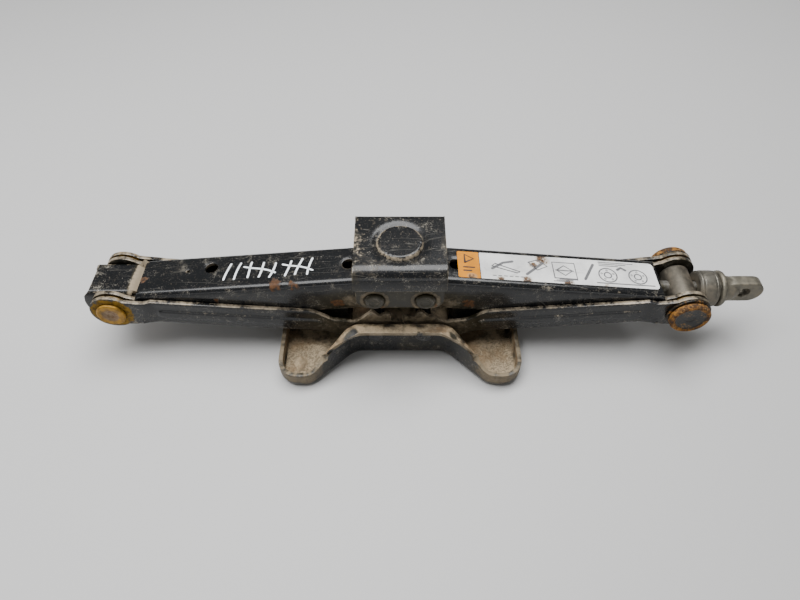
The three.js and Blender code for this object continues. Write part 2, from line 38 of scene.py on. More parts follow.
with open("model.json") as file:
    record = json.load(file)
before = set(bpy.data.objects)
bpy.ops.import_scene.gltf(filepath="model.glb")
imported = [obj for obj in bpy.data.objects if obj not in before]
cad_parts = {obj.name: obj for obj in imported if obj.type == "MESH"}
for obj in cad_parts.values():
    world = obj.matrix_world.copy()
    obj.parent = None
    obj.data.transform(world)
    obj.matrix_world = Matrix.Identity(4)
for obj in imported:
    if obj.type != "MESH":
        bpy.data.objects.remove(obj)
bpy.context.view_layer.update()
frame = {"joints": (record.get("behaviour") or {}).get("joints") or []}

# Shapes are worked out in millimetres, and turned to metres as they become meshes.
MM = 0.001
PIVOT = {joint["child"]: Vector(joint["pos_m"]) / MM for joint in frame["joints"]}
BASE_PIN = {"left": PIVOT["lower_left_arm"], "right": PIVOT["lower_right_arm"]}
END_PIN = {"left": PIVOT["left_trunnion"], "right": PIVOT["right_trunnion"]}
SADDLE_PIN = {
    "left": Vector((-abs(PIVOT["saddle"].x), 0, PIVOT["saddle"].z)),
    "right": Vector((abs(PIVOT["saddle"].x), 0, PIVOT["saddle"].z)),
}
SCREW_Z = END_PIN["right"].z
ARM_LENGTH = (END_PIN["right"] - BASE_PIN["right"]).length
REST_TILT = asin((END_PIN["right"].z - BASE_PIN["right"].z) / ARM_LENGTH)
SIDES = {"left": -1, "right": 1}
FACES = {"front": -1, "rear": 1}

# Radii of the pins and their holes, and of the screw. Places along the screw, and across the jack.
PIN_R, PIN_HOLE_R = 5, 5.3
SPIGOT_R, SPIGOT_HOLE_R = 6, 6.3
SCREW_R, JOURNAL_R, JOURNAL_HOLE_R = 5.5, 5, 5.3
SCREW_LEFT, THREAD_LEFT, THREAD_RIGHT, JOURNAL_END = -193, -187, 161.8, 205
BALLS_X, BALL_RING_R, BALL_R = 191.7, 7.2, 1.4
WASHER_IN, WASHER_OUT, BUSH_OUT = 15.8, 17.0, 19.7


# ------------------------------------------------------------------ sizes and colours
def length(name, description, default, **more):
    return FloatProperty(
        name=name, description=description, default=default, unit="LENGTH", precision=5, **more
    )


def colour(name, description, default):
    return FloatVectorProperty(
        name=name, description=description, default=default, subtype="COLOR", min=0, max=1
    )


class JackSizes(bpy.types.PropertyGroup):
    arm_sheet: length("Arm sheet", "Thickness of the sheet of the arms", 0.00245)
    base_sheet: length("Base sheet", "Thickness of the sheet of the base", 0.0025)
    edge_break: length("Edge break", "Width of the rounding on cut edges", 0.0004)
    bead_rise: length("Bead rise", "How far the arms' long beads stand out", 0.0009)
    boss_rise: length("Boss rise", "How far the saddle's round boss stands up", 0.0008)
    dome_rise: length("Dome rise", "Height of the domes in the feet", 0.004)
    thread_pitch: length("Thread pitch", "Distance from one turn of the thread to the next", 0.003)
    thread_depth: length("Thread depth", "Depth of the thread", 0.0011)
    grit: length("Grit", "Size of the largest grains in the dirt", 0.0011)
    balls: IntProperty(name="Balls", description="Balls in the thrust bearing", default=8, min=3)


class JackColours(bpy.types.PropertyGroup):
    paint: colour("Paint", "Black gloss paint", (0.0038, 0.0042, 0.0048))
    dust: colour("Dust", "Dry road dust", (0.36, 0.285, 0.185))
    grime: colour("Grime", "Old oily dirt", (0.03, 0.024, 0.008))
    rust: colour("Rust", "Orange rust", (0.115, 0.05, 0.018))
    steel: colour("Steel", "Bare worn steel", (0.165, 0.155, 0.13))
    zinc: colour("Zinc", "Yellow zinc plate", (0.40, 0.215, 0.025))
    bright: colour("Bright steel", "Steel of the balls and races", (0.62, 0.62, 0.62))
    foil: colour("Label foil", "White label foil", (0.70, 0.70, 0.69))
    sign: colour("Sign foil", "Orange label foil", (0.62, 0.225, 0.0))
    ink: colour("Ink", "Grey print on the labels", (0.10, 0.10, 0.105))
    marker: colour("Marker", "White paint marker", (0.80, 0.84, 0.86))
    floor: colour("Floor", "Pale studio floor", (0.46, 0.46, 0.46))


def sizes():
    return bpy.context.scene.jack_sizes


def colours():
    return bpy.context.scene.jack_colours


# ------------------------------------------------------------------ outlines
def arc(x, y, r, start, end, steps):
    """Points on an arc, both ends included. Angles in degrees."""
    angles = [radians(start + (end - start) * i / steps) for i in range(steps + 1)]
    return [(x + r * cos(a), y + r * sin(a)) for a in angles]


def rounded(points, closed=True, step=9):
    """The outline with each point's corner rounded by its third number, where it has one."""
    path = []
    for i, point in enumerate(points):
        end_point = not closed and i in (0, len(points) - 1)
        if len(point) < 3 or not point[2] or end_point:
            path.append(tuple(point[:2]))
            continue
        here = Vector(point[:2])
        back = (Vector(points[i - 1][:2]) - here).normalized()
        on = (Vector(points[(i + 1) % len(points)][:2]) - here).normalized()
        half = acos(max(-1, min(1, back.dot(on)))) / 2
        if half > pi / 2 - 0.01:
            path.append(tuple(here))
            continue
        centre = here + (back + on).normalized() * (point[2] / sin(half))
        first = here + back * (point[2] / tan(half)) - centre
        turn = (pi - 2 * half) * (-1 if back.cross(on) > 0 else 1)
        steps = max(2, round(abs(degrees(turn)) / step))
        for k in range(steps + 1):
            spot = centre + Matrix.Rotation(turn * k / steps, 2) @ first
            path.append(tuple(spot))
    return path


def circle(x, y, r, steps=32):
    return arc(x, y, r, 0, 360, steps)[:-1]


def smooth(value, low, high):
    """0 at low, 1 at high, and a smooth rise between."""
    t = max(0.0, min(1.0, (value - low) / (high - low)))
    return t * t * (3 - 2 * t)


def segments(loops):
    starts = np.array([p for loop in loops for p in loop], float)
    ends = np.array([p for loop in loops for p in loop[1:] + loop[:1]], float)
    return starts, ends


def inside(points, loops):
    """Which points lie inside the first loop and outside the others."""
    a, b = segments(loops)
    x, y = points[:, 0, None], points[:, 1, None]
    straddles = (a[:, 1] > y) != (b[:, 1] > y)
    rise = np.where(a[:, 1] == b[:, 1], 1, b[:, 1] - a[:, 1])
    crossing = a[:, 0] + (y - a[:, 1]) / rise * (b[:, 0] - a[:, 0])
    return (straddles & (x < crossing)).sum(1) % 2 == 1


def distance(points, loops):
    """How far each point is from the nearest edge of the loops."""
    a, b = segments(loops)
    along = b - a
    away = points[:, None] - a
    share = (away * along).sum(2) / np.maximum((along**2).sum(1), 1e-12)
    nearest = away - np.clip(share, 0, 1)[..., None] * along
    return np.sqrt((nearest**2).sum(2)).min(1)


def fill(loops, spots, clearance):
    """Triangles that fill the first loop less the others, with the spots that lie clear of an edge."""
    spots = np.array(spots, float)
    spots = spots[inside(spots, loops)]
    spots = spots[distance(spots, loops) > clearance]
    corners = [Vector(p) for loop in loops for p in loop]
    edges, start = [], 0
    for loop in loops:
        size = len(loop)
        edges += [(start + i, start + (i + 1) % size) for i in range(size)]
        start += size
    corners += [Vector(p) for p in spots]
    found = geometry.delaunay_2d_cdt(corners, edges, [], 0, 1e-5)
    points = np.array([tuple(p) for p in found[0]])
    middles = np.array([points[list(t)].mean(0) for t in found[2]])
    kept = [tuple(t) for t, good in zip(found[2], inside(middles, loops)) if good]
    return points, kept


def grid(us, vs):
    return [(u, v) for u in us for v in vs]


def steps_between(low, high, step):
    return list(np.linspace(low, high, max(2, round((high - low) / step) + 1)))


# ------------------------------------------------------------------ meshes
def new_object(name, bm, materials, sharp=38):
    """A mesh object in metres from a bmesh in millimetres."""
    bmesh.ops.scale(bm, vec=(MM, MM, MM), verts=bm.verts)
    mesh = bpy.data.meshes.new(name)
    bm.to_mesh(mesh)
    bm.free()
    obj = bpy.data.objects.new(name, mesh)
    bpy.context.scene.collection.objects.link(obj)
    for material in materials:
        mesh.materials.append(material)
    soften(mesh, sharp)
    return obj


def soften(mesh, sharp):
    mesh.shade_smooth()
    mesh.set_sharp_from_angle(angle=radians(sharp))


def make_plain(obj, sharp=38):
    """Applies every modifier by replacing the mesh with the evaluated one."""
    bpy.context.view_layer.update()
    evaluated = obj.evaluated_get(bpy.context.evaluated_depsgraph_get())
    mesh = bpy.data.meshes.new_from_object(evaluated)
    obj.modifiers.clear()
    obj.data = mesh
    mesh.name = obj.name
    soften(mesh, sharp)
    return obj


def mount(obj, body, slot, *nodes):
    """Says which body the piece moves with, and hides the CAD nodes it stands for. slot, a finish name, is
    not used.
    """
    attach(obj, body)
    if nodes:
        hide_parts(*nodes)


def add_triangles(bm, triangles):
    """Joins the mesh's points, given by number, and faces the triangles the same way."""
    bm.verts.ensure_lookup_table()
    for triangle in triangles:
        bm.faces.new([bm.verts[i] for i in triangle])
    bmesh.ops.recalc_face_normals(bm, faces=bm.faces)


def bend_sheet(name, loops, spots, place, thickness, material, marks=None, clearance=0.7, crisp=False):
    """A flat blank, bent into shape by place(u, s), given its thickness and broken edges.

    marks(u, s) gives a point's extra values "bend", "soil" and "rust".
    "rim" is how near it is to a cut edge.
    """
    points, triangles = fill(loops, spots, clearance)
    near = distance(points, loops)
    bm = bmesh.new()
    layers = [bm.verts.layers.float.new(key) for key in ("bend", "soil", "rust", "rim")]
    for (u, s), gap in zip(points, near):
        vert = bm.verts.new(place(u, s))
        values = marks(u, s) if marks else (0, 0, 0)
        for layer, value in zip(layers, (*values, max(0.0, 1 - gap / 2.2))):
            vert[layer] = value
    add_triangles(bm, triangles)
    obj = new_object(name, bm, [material])
    thicken(obj, thickness, crisp=crisp)
    return make_plain(obj)


def thicken(obj, thickness, materials_apart=0, crisp=False):
    """Gives a sheet its thickness, half to each side. crisp leaves its cut edges square."""
    wall = obj.modifiers.new("wall", "SOLIDIFY")
    wall.thickness = thickness * MM
    wall.offset = 0
    wall.use_even_offset = not crisp
    wall.material_offset = materials_apart
    if not crisp:
        break_edges(obj)


def break_edges(obj):
    """Rounds the object's sharp edges."""
    edge = obj.modifiers.new("edge", "BEVEL")
    edge.width = sizes().edge_break
    edge.segments = 2
    edge.limit_method = "ANGLE"
    edge.angle_limit = radians(50)
    edge.use_clamp_overlap = True


def lathe(name, profile, axis, centre, material, ring=False, steps=72, marks=None):
    """A round piece from (radius, height[, corner radius]) points along an axis through a centre.

    marks(r, h) gives a point's extra values "rim" and "soil".
    """
    path = rounded(profile, closed=ring, step=18)
    turn = {"x": Euler((0, pi / 2, 0)), "y": Euler((-pi / 2, 0, 0))}[axis].to_matrix()
    centre = Vector(centre)
    bm = bmesh.new()
    rim, soil = (bm.verts.layers.float.new(key) for key in ("rim", "soil"))
    rows = []
    for r, h in path:
        row = []
        for j in range(steps):
            a = 2 * pi * j / steps
            vert = bm.verts.new(centre + turn @ Vector((r * cos(a), r * sin(a), h)))
            if marks:
                vert[rim], vert[soil] = marks(r, h)
            row.append(vert)
        rows.append(row)
    pairs = list(zip(rows, rows[1:])) + ([(rows[-1], rows[0])] if ring else [])
    for low, high in pairs:
        for j in range(steps):
            k = (j + 1) % steps
            bm.faces.new((low[j], low[k], high[k], high[j]))
    bmesh.ops.remove_doubles(bm, verts=bm.verts, dist=1e-4)
    bmesh.ops.dissolve_degenerate(bm, dist=1e-4, edges=bm.edges)
    bmesh.ops.recalc_face_normals(bm, faces=bm.faces)
    return new_object(name, bm, [material], 32)


def both_ends(profile):
    """A profile and its mirror image, for a pin with the same head on each end."""
    return [(p[0], -p[1], *p[2:]) for p in reversed(profile)] + profile


def washer(name, radii, span, soft, axis, centre, material, marks=None):
    """A ring between two radii and two places along an axis, its edges rounded by soft."""
    inner, outer = radii
    low, high = sorted(span)
    profile = [(inner, low, soft), (outer, low, soft), (outer, high, soft), (inner, high, soft)]
    return lathe(name, profile, axis, centre, material, ring=True, marks=marks)


# ------------------------------------------------------------------ shader building
class Wire:
    """The output of a shader node. Arithmetic on it adds Math nodes."""

    def __init__(self, tree, socket):
        self.tree = tree
        self.socket = socket

    def feed(self, socket, value):
        if isinstance(value, Wire):
            self.tree.links.new(value.socket, socket)
        else:
            socket.default_value = value

    def math(self, operation, first, second=0.0):
        node = self.tree.nodes.new("ShaderNodeMath")
        node.operation = operation
        self.feed(node.inputs[0], first)
        self.feed(node.inputs[1], second)
        return Wire(self.tree, node.outputs[0])

    def __add__(self, other):
        return self.math("ADD", self, other)

    def __sub__(self, other):
        return self.math("SUBTRACT", self, other)

    def __rsub__(self, other):
        return self.math("SUBTRACT", other, self)

    def __mul__(self, other):
        return self.math("MULTIPLY", self, other)

    def __abs__(self):
        return self.math("ABSOLUTE", self)

    def most(self, other):
        return self.math("MAXIMUM", self, other)

    def least(self, other):
        return self.math("MINIMUM", self, other)

    __radd__ = __add__
    __rmul__ = __mul__


def dim(shade, share):
    return [v * share for v in shade]


class Finish:
    """A material under construction."""

    def __init__(self, name):
        self.material = bpy.data.materials.new(name)
        self.material.use_nodes = True
        self.tree = self.material.node_tree
        self.tree.nodes.clear()
        self.place = self.node("ShaderNodeTexCoord", output="Object")

    def node(self, kind, settings=None, values=None, output=0):
        """Adds a node: its settings first, then the values or links of its sockets."""
        made = self.tree.nodes.new(kind)
        for key, value in (settings or {}).items():
            setattr(made, key, value)
        wire = Wire(self.tree, None)
        for key, value in (values or {}).items():
            wire.feed(made.inputs[key], value)
        wire.socket = made.outputs[output] if made.outputs else None
        return wire

    def noise(self, scale, detail=3.0, roughness=0.55, distortion=0.0, vector=None):
        return self.node("ShaderNodeTexNoise", None, {
            "Vector": vector or self.place, "Scale": scale, "Detail": detail,
            "Roughness": roughness, "Distortion": distortion,
        })

    def attribute(self, name):
        return self.node("ShaderNodeAttribute", {"attribute_name": name}, output="Fac")

    def mask(self, value, low, high):
        """0 below low, 1 above high, smooth between."""
        return self.node("ShaderNodeMapRange", {"interpolation_type": "SMOOTHSTEP"}, {
            "Value": value, "From Min": low, "From Max": high,
        })

    def mix(self, first, second, factor):
        """A colour between two, by a factor. Colours are plain or wires."""
        made = self.tree.nodes.new("ShaderNodeMix")
        made.data_type = "RGBA"
        wire = Wire(self.tree, None)
        for socket, value in ((made.inputs[0], factor), (made.inputs[6], first), (made.inputs[7], second)):
            plain = not isinstance(value, Wire) and not isinstance(value, (int, float))
            wire.feed(socket, (*value, 1) if plain and len(value) == 3 else value)
        wire.socket = made.outputs[2]
        return wire

    def bump(self, height, strength, depth):
        return self.node("ShaderNodeBump", None, {
            "Height": height, "Strength": strength, "Distance": depth,
        })

    def scratches(self, scale, stretch, turn, width, seed):
        """Thin lines where a stretched noise crosses its middle value, broken up along their length."""
        drift = self.node("ShaderNodeMapping", None, {
            "Vector": self.place, "Scale": stretch, "Rotation": turn, "Location": (seed, seed, 0),
        })
        field = self.noise(scale, 2, 0.5, 0.4, drift)
        line = 1 - self.mask(abs(field - 0.5), width * 0.3, width)
        return line * self.mask(self.noise(scale * 1.7, 3, 0.6, 0, drift), 0.5, 0.6)

    def surface(self, **values):
        """Ends the material in a Principled shader with the given sockets."""
        shader = self.node("ShaderNodeBsdfPrincipled", None,
                           {key.replace("_", " "): value for key, value in values.items()})
        self.node("ShaderNodeOutputMaterial", None, {"Surface": shader})
        return self.material


def painted(name, wear, dust, oil, stain):
    """Black gloss paint on sheet steel: scratched, worn at edges and bends, dusty, greasy where soiled. Its
    bend wear also carries a painted highlight along the upper shoulder of the lower arms' beads.

    stain is the colour of its rust marks.
    """
    f = Finish(name)
    c = colours()
    rim, bend, soil, rusty = (f.attribute(key) for key in ("rim", "bend", "soil", "rust"))
    broad = f.noise(26, 4)
    patchy = f.noise(95, 6, 0.65)
    middling = f.noise(210, 6, 0.7)
    fine = f.noise(480, 6, 0.72)
    grain = f.noise(1600, 3, 0.6)
    long_lines = f.scratches(26, (0.12, 2.6, 2.6), (0, 0, 0.05), 0.004, 0.3)
    slant_lines = f.scratches(30, (0.22, 2.2, 1.2), (0, 0, 0.7), 0.0035, 1.7)
    short_lines = f.scratches(75, (0.25, 2.4, 2.0), (0, 0, -0.45), 0.008, 4.1)
    chips = f.mask(fine + broad * 0.35, 0.86, 0.93)
    edge_wear = f.mask(rim + patchy * 0.9 + fine * 0.35, 1.52, 1.74)
    # The bend mark holds real wear at the folds. On the lower arms it also holds a painted highlight along
    # the bead's upper shoulder.
    bend_wear_and_highlight = f.mask(bend * 0.3 + middling * 0.6 + fine * 0.55 + patchy * 0.3, 0.98, 1.12)
    bare_and_highlight = (edge_wear.most(bend_wear_and_highlight * 0.8).most(chips * 0.5) * wear).least(1.0)
    scratch = ((long_lines * 0.45).most(slant_lines * 0.7).most(short_lines) * 0.32).least(1.0)
    flecks = f.mask(grain * 0.45 + middling * 0.55 + patchy * 0.4, 0.75, 0.85) * wear * 0.55
    film = f.mask(patchy * 0.5 + broad * 0.5 + fine * 0.45, 0.74, 1.0) * dust
    speckle = f.mask(grain * 0.5 + fine * 0.7, 0.66, 0.76) * dust
    cover = f.mask(soil * 1.1 + patchy * 0.6 + fine * 0.5, 1.06, 1.4)
    greasy = f.mask(soil * 1.1 + broad * 0.5 + patchy * 0.4, 0.6, 0.9) * oil
    corroded = f.mask(rusty * 0.55 + middling * 0.75 + fine * 0.55, 0.98, 1.12)
    base = f.mix(c.paint, dim(c.paint, 2.2), patchy)
    base = f.mix(base, f.mix(dim(c.grime, 0.35), c.grime, middling), greasy * 0.85)
    base = f.mix(base, dim(c.dust, 0.3), (film * 0.5 + speckle * 0.45).least(0.8))
    base = f.mix(base, dim(c.dust, 0.55), cover * 0.85)
    base = f.mix(base, (0.20, 0.185, 0.155), scratch.most(flecks).least(1.0))
    # Light worn steel colour where paint is worn through, and where the bead's painted highlight lies.
    base = f.mix(base, f.mix((0.16, 0.125, 0.08), (0.42, 0.355, 0.265), fine), bare_and_highlight * 0.85)
    base = f.mix(base, f.mix(dim(stain, 0.3), stain, f.mask(fine, 0.35, 0.6)), corroded * 0.8)
    dull = film * 0.3 + speckle * 0.2 + cover * 0.45 + greasy * 0.14 + scratch * 0.15 + corroded * 0.5
    height = fine * 0.3 + patchy * 0.3 - scratch * 0.4 - bare_and_highlight * 0.4 + cover * 0.6 + grain * 0.14
    return f.surface(
        Base_Color=base,
        Roughness=0.17 + broad * 0.17 + (dull + bare_and_highlight * 0.2).least(0.6),
        Metallic=bare_and_highlight * 0.25,
        Normal=f.bump(height + corroded * 0.6, 0.55, 0.00025),
        Coat_Weight=(0.24 - dull * 0.4).most(0.0),
        Coat_Roughness=0.12,
        Specular_IOR_Level=0.24,
    )


def caked(name):
    """Sheet that is mostly covered in dry, sandy dirt, with the paint showing through in places."""
    f = Finish(name)
    c = colours()
    rim, soil = f.attribute("rim"), f.attribute("soil")
    broad = f.noise(32, 4)
    patchy = f.noise(110, 6, 0.65)
    middling = f.noise(260, 6, 0.7)
    grain = f.noise(900, 5, 0.7)
    sand = f.noise(2600, 2, 0.6)
    cover = f.mask(soil * 0.8 + broad * 0.4 + patchy * 0.5 + middling * 0.45, 1.0, 1.3)
    shade = f.mix(dim(c.dust, 0.35), dim(c.dust, 1.05), f.mask(patchy, 0.35, 0.62))
    shade = f.mix(shade, (0.15, 0.082, 0.034), f.mask(broad + grain * 0.3, 0.62, 0.8) * 0.6)
    shade = f.mix(shade, dim(c.dust, 0.4), f.mask(sand, 0.55, 0.66) * 0.5)
    paint = f.mix(c.paint, c.grime, f.mask(patchy, 0.35, 0.6) * 0.8)
    worn = f.mask(rim + middling * 0.9, 1.35, 1.55)
    base = f.mix(f.mix(paint, shade, cover), (0.44, 0.37, 0.27), worn * 0.8)
    return f.surface(
        Base_Color=base,
        Roughness=0.34 + cover * 0.52,
        Normal=f.bump(grain * 0.5 + sand * 0.3 + patchy * 0.5 + cover * 0.5, 0.8, 0.0004),
        Specular_IOR_Level=0.3,
    )


def dry_dirt(name):
    """The loose dirt lying in the feet."""
    f = Finish(name)
    c = colours()
    broad = f.noise(60, 4)
    grain = f.noise(700, 6, 0.75)
    sand = f.noise(3000, 2, 0.6)
    shade = f.mix(dim(c.dust, 0.42), dim(c.dust, 1.05), f.mask(grain, 0.38, 0.62))
    shade = f.mix(shade, (0.17, 0.105, 0.05), f.mask(broad, 0.45, 0.65) * 0.6)
    shade = f.mix(shade, dim(c.dust, 0.2), f.mask(sand, 0.56, 0.64) * 0.55)
    return f.surface(
        Base_Color=shade, Roughness=0.86 + grain * 0.1,
        Normal=f.bump(grain * 0.7 + sand * 0.5, 0.9, 0.0005),
    )


def bare_steel(name, tint, stain, rough):
    """Steel with no paint: fine turning marks, dull patches, brown stain and pits."""
    f = Finish(name)
    c = colours()
    broad = f.noise(45, 4)
    patchy = f.noise(170, 6, 0.65)
    fine = f.noise(900, 4, 0.7)
    pits = f.mask(f.noise(1300, 2, 0.5), 0.60, 0.68)
    brown = f.mask(broad * 0.8 + patchy * 0.6, 0.66, 0.95) * stain
    soil = f.attribute("soil")
    rust = f.mask(soil + patchy * 0.6 + fine * 0.3, 0.85, 1.15)
    dark = dim(tint, 0.52)
    shade = f.mix(dark, tint, f.mask(patchy * 0.7 + broad * 0.4, 0.4, 0.72))
    shade = f.mix(shade, (0.135, 0.095, 0.05), brown * 0.65)
    shade = f.mix(shade, c.rust, rust * 0.85)
    shade = f.mix(shade, (0.045, 0.04, 0.032), pits * 0.5)
    clean = (1 - (brown * 0.8 + rust + pits * 0.5)).most(0.0)
    return f.surface(
        Base_Color=shade,
        Roughness=rough + brown * 0.2 + rust * 0.3 + patchy * 0.16,
        Metallic=clean * 0.8,
        Normal=f.bump(patchy * 0.5 + fine * 0.35 - pits * 0.5 + rust * 0.4, 0.55, 0.0002),
    )


def rusty_head(name):
    """A rivet head with a dark painted face, specked with rust, and a rusty rim."""
    f = Finish(name)
    rim = f.attribute("rim")
    broad = f.noise(90, 4)
    patchy = f.noise(260, 6, 0.7)
    fine = f.noise(1100, 4, 0.7)
    rust = f.mask(rim * 0.42 + patchy * 1.2 + broad * 0.5, 0.98, 1.14)
    specks = f.mask(fine * 0.7 + patchy * 0.6, 0.7, 0.76)
    rust_tone = f.mix((0.035, 0.016, 0.006), (0.26, 0.115, 0.018),
                      f.mask(patchy * 0.7 + fine * 0.3, 0.42, 0.58))
    rust_tone = f.mix(rust_tone, (0.27, 0.19, 0.095), f.mask(broad * 0.4 + fine * 0.6, 0.54, 0.62) * 0.7)
    face = f.mix((0.004, 0.004, 0.0035), (0.018, 0.014, 0.008), f.mask(patchy, 0.42, 0.66))
    face = f.mix(face, (0.23, 0.13, 0.04), specks * 0.75)
    return f.surface(
        Base_Color=f.mix(face, rust_tone, rust),
        Roughness=0.32 + rust * 0.45,
        Metallic=0.1,
        Normal=f.bump(fine * 0.5 + patchy * 0.6 + rust * 0.5, 0.8, 0.0003),
        Specular_IOR_Level=0.35,
    )


def zinc_plated(name):
    """Yellow zinc plate, stained, with a duller brown-grey centre."""
    f = Finish(name)
    c = colours()
    rim = f.attribute("rim")
    broad = f.noise(80, 4)
    patchy = f.noise(230, 6, 0.7)
    fine = f.noise(1000, 4, 0.7)
    shade = f.mix(dim(c.zinc, 0.4), c.zinc, f.mask(patchy + broad * 0.3, 0.45, 0.8))
    brown = f.mix((0.11, 0.05, 0.022), (0.25, 0.175, 0.10), f.mask(fine * 0.5 + patchy * 0.6, 0.42, 0.66))
    shade = f.mix(brown, shade, f.mask(rim + patchy * 0.8, 0.8, 1.2))
    shade = f.mix(shade, c.grime, f.mask(broad + fine * 0.2, 0.62, 0.78) * 0.55)
    return f.surface(
        Base_Color=shade,
        Roughness=0.36 + patchy * 0.3,
        Metallic=0.55,
        Normal=f.bump(fine * 0.5 + patchy * 0.5, 0.5, 0.0002),
    )


def greasy_steel(name):
    """Dark steel with old grease."""
    f = Finish(name)
    c = colours()
    broad = f.noise(70, 4)
    patchy = f.noise(300, 5, 0.65)
    shade = f.mix((0.11, 0.105, 0.095), c.steel, f.mask(patchy, 0.42, 0.7))
    shade = f.mix(shade, c.grime, f.mask(broad + patchy * 0.4, 0.62, 0.85) * 0.85)
    return f.surface(
        Base_Color=shade,
        Roughness=0.26 + patchy * 0.28,
        Metallic=f.mask(patchy, 0.35, 0.6) * 0.8,
        Normal=f.bump(patchy, 0.4, 0.0002),
    )


def bright_steel(name):
    """Ground steel with a light film of oil."""
    f = Finish(name)
    c = colours()
    haze = f.noise(500, 4, 0.6)
    return f.surface(
        Base_Color=f.mix(dim(c.bright, 0.75), c.bright, haze),
        Roughness=0.12 + haze * 0.2,
        Metallic=1.0,
        Normal=f.bump(haze, 0.15, 0.0001),
    )


def printed_foil(name, shade):
    """A label: smooth foil, rubbed and dusty, with small brown tears at its edges."""
    f = Finish(name)
    c = colours()
    soil = f.attribute("soil")
    broad = f.noise(50, 4)
    patchy = f.noise(210, 6, 0.7)
    fine = f.noise(900, 5, 0.7)
    scuff = f.scratches(40, (0.5, 2.4, 2.4), (0, 0, 0.2), 0.02, 2.2)
    torn = f.mask(soil * 0.34 + patchy * 0.7 + fine * 0.45, 0.86, 0.89)
    grubby = f.mask(soil * 0.5 + broad * 0.5 + patchy * 0.6, 0.7, 1.0)
    base = f.mix(shade, dim(shade, 0.72), f.mask(broad + fine * 0.3, 0.5, 0.85))
    base = f.mix(base, c.dust, f.mask(patchy * 0.8 + fine * 0.4, 0.72, 0.95) * 0.5)
    base = f.mix(base, dim(shade, 0.5), scuff * 0.35)
    base = f.mix(base, dim(c.dust, 0.8), grubby * 0.55)
    base = f.mix(base, f.mix((0.012, 0.011, 0.01), (0.14, 0.08, 0.045), f.mask(fine, 0.4, 0.6)), torn)
    return f.surface(
        Base_Color=base,
        Specular_IOR_Level=0.2,
        Roughness=0.42 + fine * 0.2 + torn * 0.2,
        Normal=f.bump(patchy * 0.6 + fine * 0.2 - torn, 0.3, 0.0002),
    )


def ink(name, shade, wear):
    """Print or marker paint, thin in places."""
    f = Finish(name)
    patchy = f.noise(420, 5, 0.7)
    faded = f.mask(patchy, 0.5, 0.72) * wear
    return f.surface(
        Base_Color=f.mix(shade, [min(1, v * 0.6 + 0.1) for v in shade], faded),
        Roughness=0.5 + patchy * 0.25,
        Normal=f.bump(patchy, 0.25, 0.0001),
    )


def studio_floor(name):
    f = Finish(name)
    c = colours()
    haze = f.noise(3, 3)
    grain = f.noise(900, 3)
    return f.surface(
        Base_Color=f.mix(dim(c.floor, 0.97), c.floor, haze),
        Roughness=0.5 + grain * 0.1,
        Normal=f.bump(grain, 0.05, 0.0002),
    )


# Each material's maker and what the maker is told. For paint: wear, dust, oil, colour of its rust.
# For steel: tint, stain, roughness. For print: shade, wear. A word picks one of the jack's colours.
LOOKS = {
    "arm_paint": (painted, 1.0, 0.55, 0.7, "rust"),
    "stained_paint": (painted, 1.0, 0.55, 0.7, (0.27, 0.15, 0.008)),
    "base_paint": (painted, 0.9, 0.75, 0.55, "rust"),
    "rivet_paint": (painted, 0.6, 0.6, 1.0, "rust"),
    "greasy_paint": (painted, 0.8, 0.35, 1.0, "rust"),
    "saddle_paint": (painted, 1.25, 1.0, 0.5, "rust"),
    "cover_paint": (painted, 1.5, 0.7, 0.4, "rust"),
    "base_dirt": (caked,),
    "dry_dirt": (dry_dirt,),
    "bar_steel": (bare_steel, (0.14, 0.125, 0.10), 1.0, 0.44),
    "cup_steel": (bare_steel, "steel", 0.7, 0.36),
    "eye_steel": (bare_steel, (0.21, 0.195, 0.155), 0.8, 0.42),
    "rusty_head": (rusty_head,),
    "zinc_plate": (zinc_plated,),
    "greasy_steel": (greasy_steel,),
    "bright_steel": (bright_steel,),
    "white_foil": (printed_foil, "foil"),
    "orange_foil": (printed_foil, "sign"),
    "label_ink": (ink, "ink", 0.3),
    "sign_ink": (ink, (0.03, 0.012, 0.004), 0.6),
    "marker_paint": (ink, "marker", 0.25),
    "studio_floor": (studio_floor,),
}
MADE = {}


def look(name):
    """The named material, made once."""
    if name not in MADE:
        maker, *told = LOOKS[name]
        told = [tuple(getattr(colours(), one)) if isinstance(one, str) else one for one in told]
        MADE[name] = maker(name, *told)
    return MADE[name]


# ------------------------------------------------------------------ bent channels
class Channel:
    """A folded channel: a web, two bends and two flanges. up is 1 with the web above, -1 below."""

    def __init__(self, half, web, bend, up):
        self.half = half
        self.web = web
        self.bend = bend
        self.up = up
        self.flat = half - bend
        self.reach = self.flat + bend * pi / 2
        self.fold = web - up * bend

    def across(self, v):
        """The distance across the blank, from its middle, of a flange point at height v."""
        return self.reach + (self.fold - v) * self.up

    def section(self, s, open_share=0.0):
        """Where a point s across the blank lands. open_share is 1 where there is no web and no bend."""
        a = abs(s)
        side = -1 if s < 0 else 1
        straight = (self.half, self.fold - self.up * (a - self.reach))
        if a <= self.flat:
            bent = (a, self.web)
        elif a <= self.reach:
            turn = (a - self.flat) / self.bend
            bent = (self.flat + self.bend * sin(turn), self.web - self.up * self.bend * (1 - cos(turn)))
        else:
            bent = straight
        y = bent[0] + (straight[0] - bent[0]) * open_share
        v = bent[1] + (straight[1] - bent[1]) * open_share
        return side * y, v

    def outline(self, flange):
        """The blank's outline, from one flange's side view, end to end of the web."""
        one = [(u, self.across(v)) for u, v in flange]
        return one + [(u, -s) for u, s in reversed(one)]

    def lines(self, deepest, coarse=3.2):
        """Lines across the blank: close together in the bends, further apart on the flats."""
        flange = steps_between(self.reach, deepest, coarse)
        bend = steps_between(self.flat, self.reach, self.bend * pi / 2 / 7)
        one = steps_between(coarse / 2, self.flat - 0.8, coarse) + bend + flange[1:]
        return [-s for s in reversed(one)] + one

    def bend_mark(self, s):
        return max(0.0, 1 - abs(abs(s) - (self.flat + self.reach) / 2) / 3.2)


LOWER = Channel(17.0, -9.5, 2.8, -1)
UPPER = Channel(14.25, 8.05, 2.75, 1)
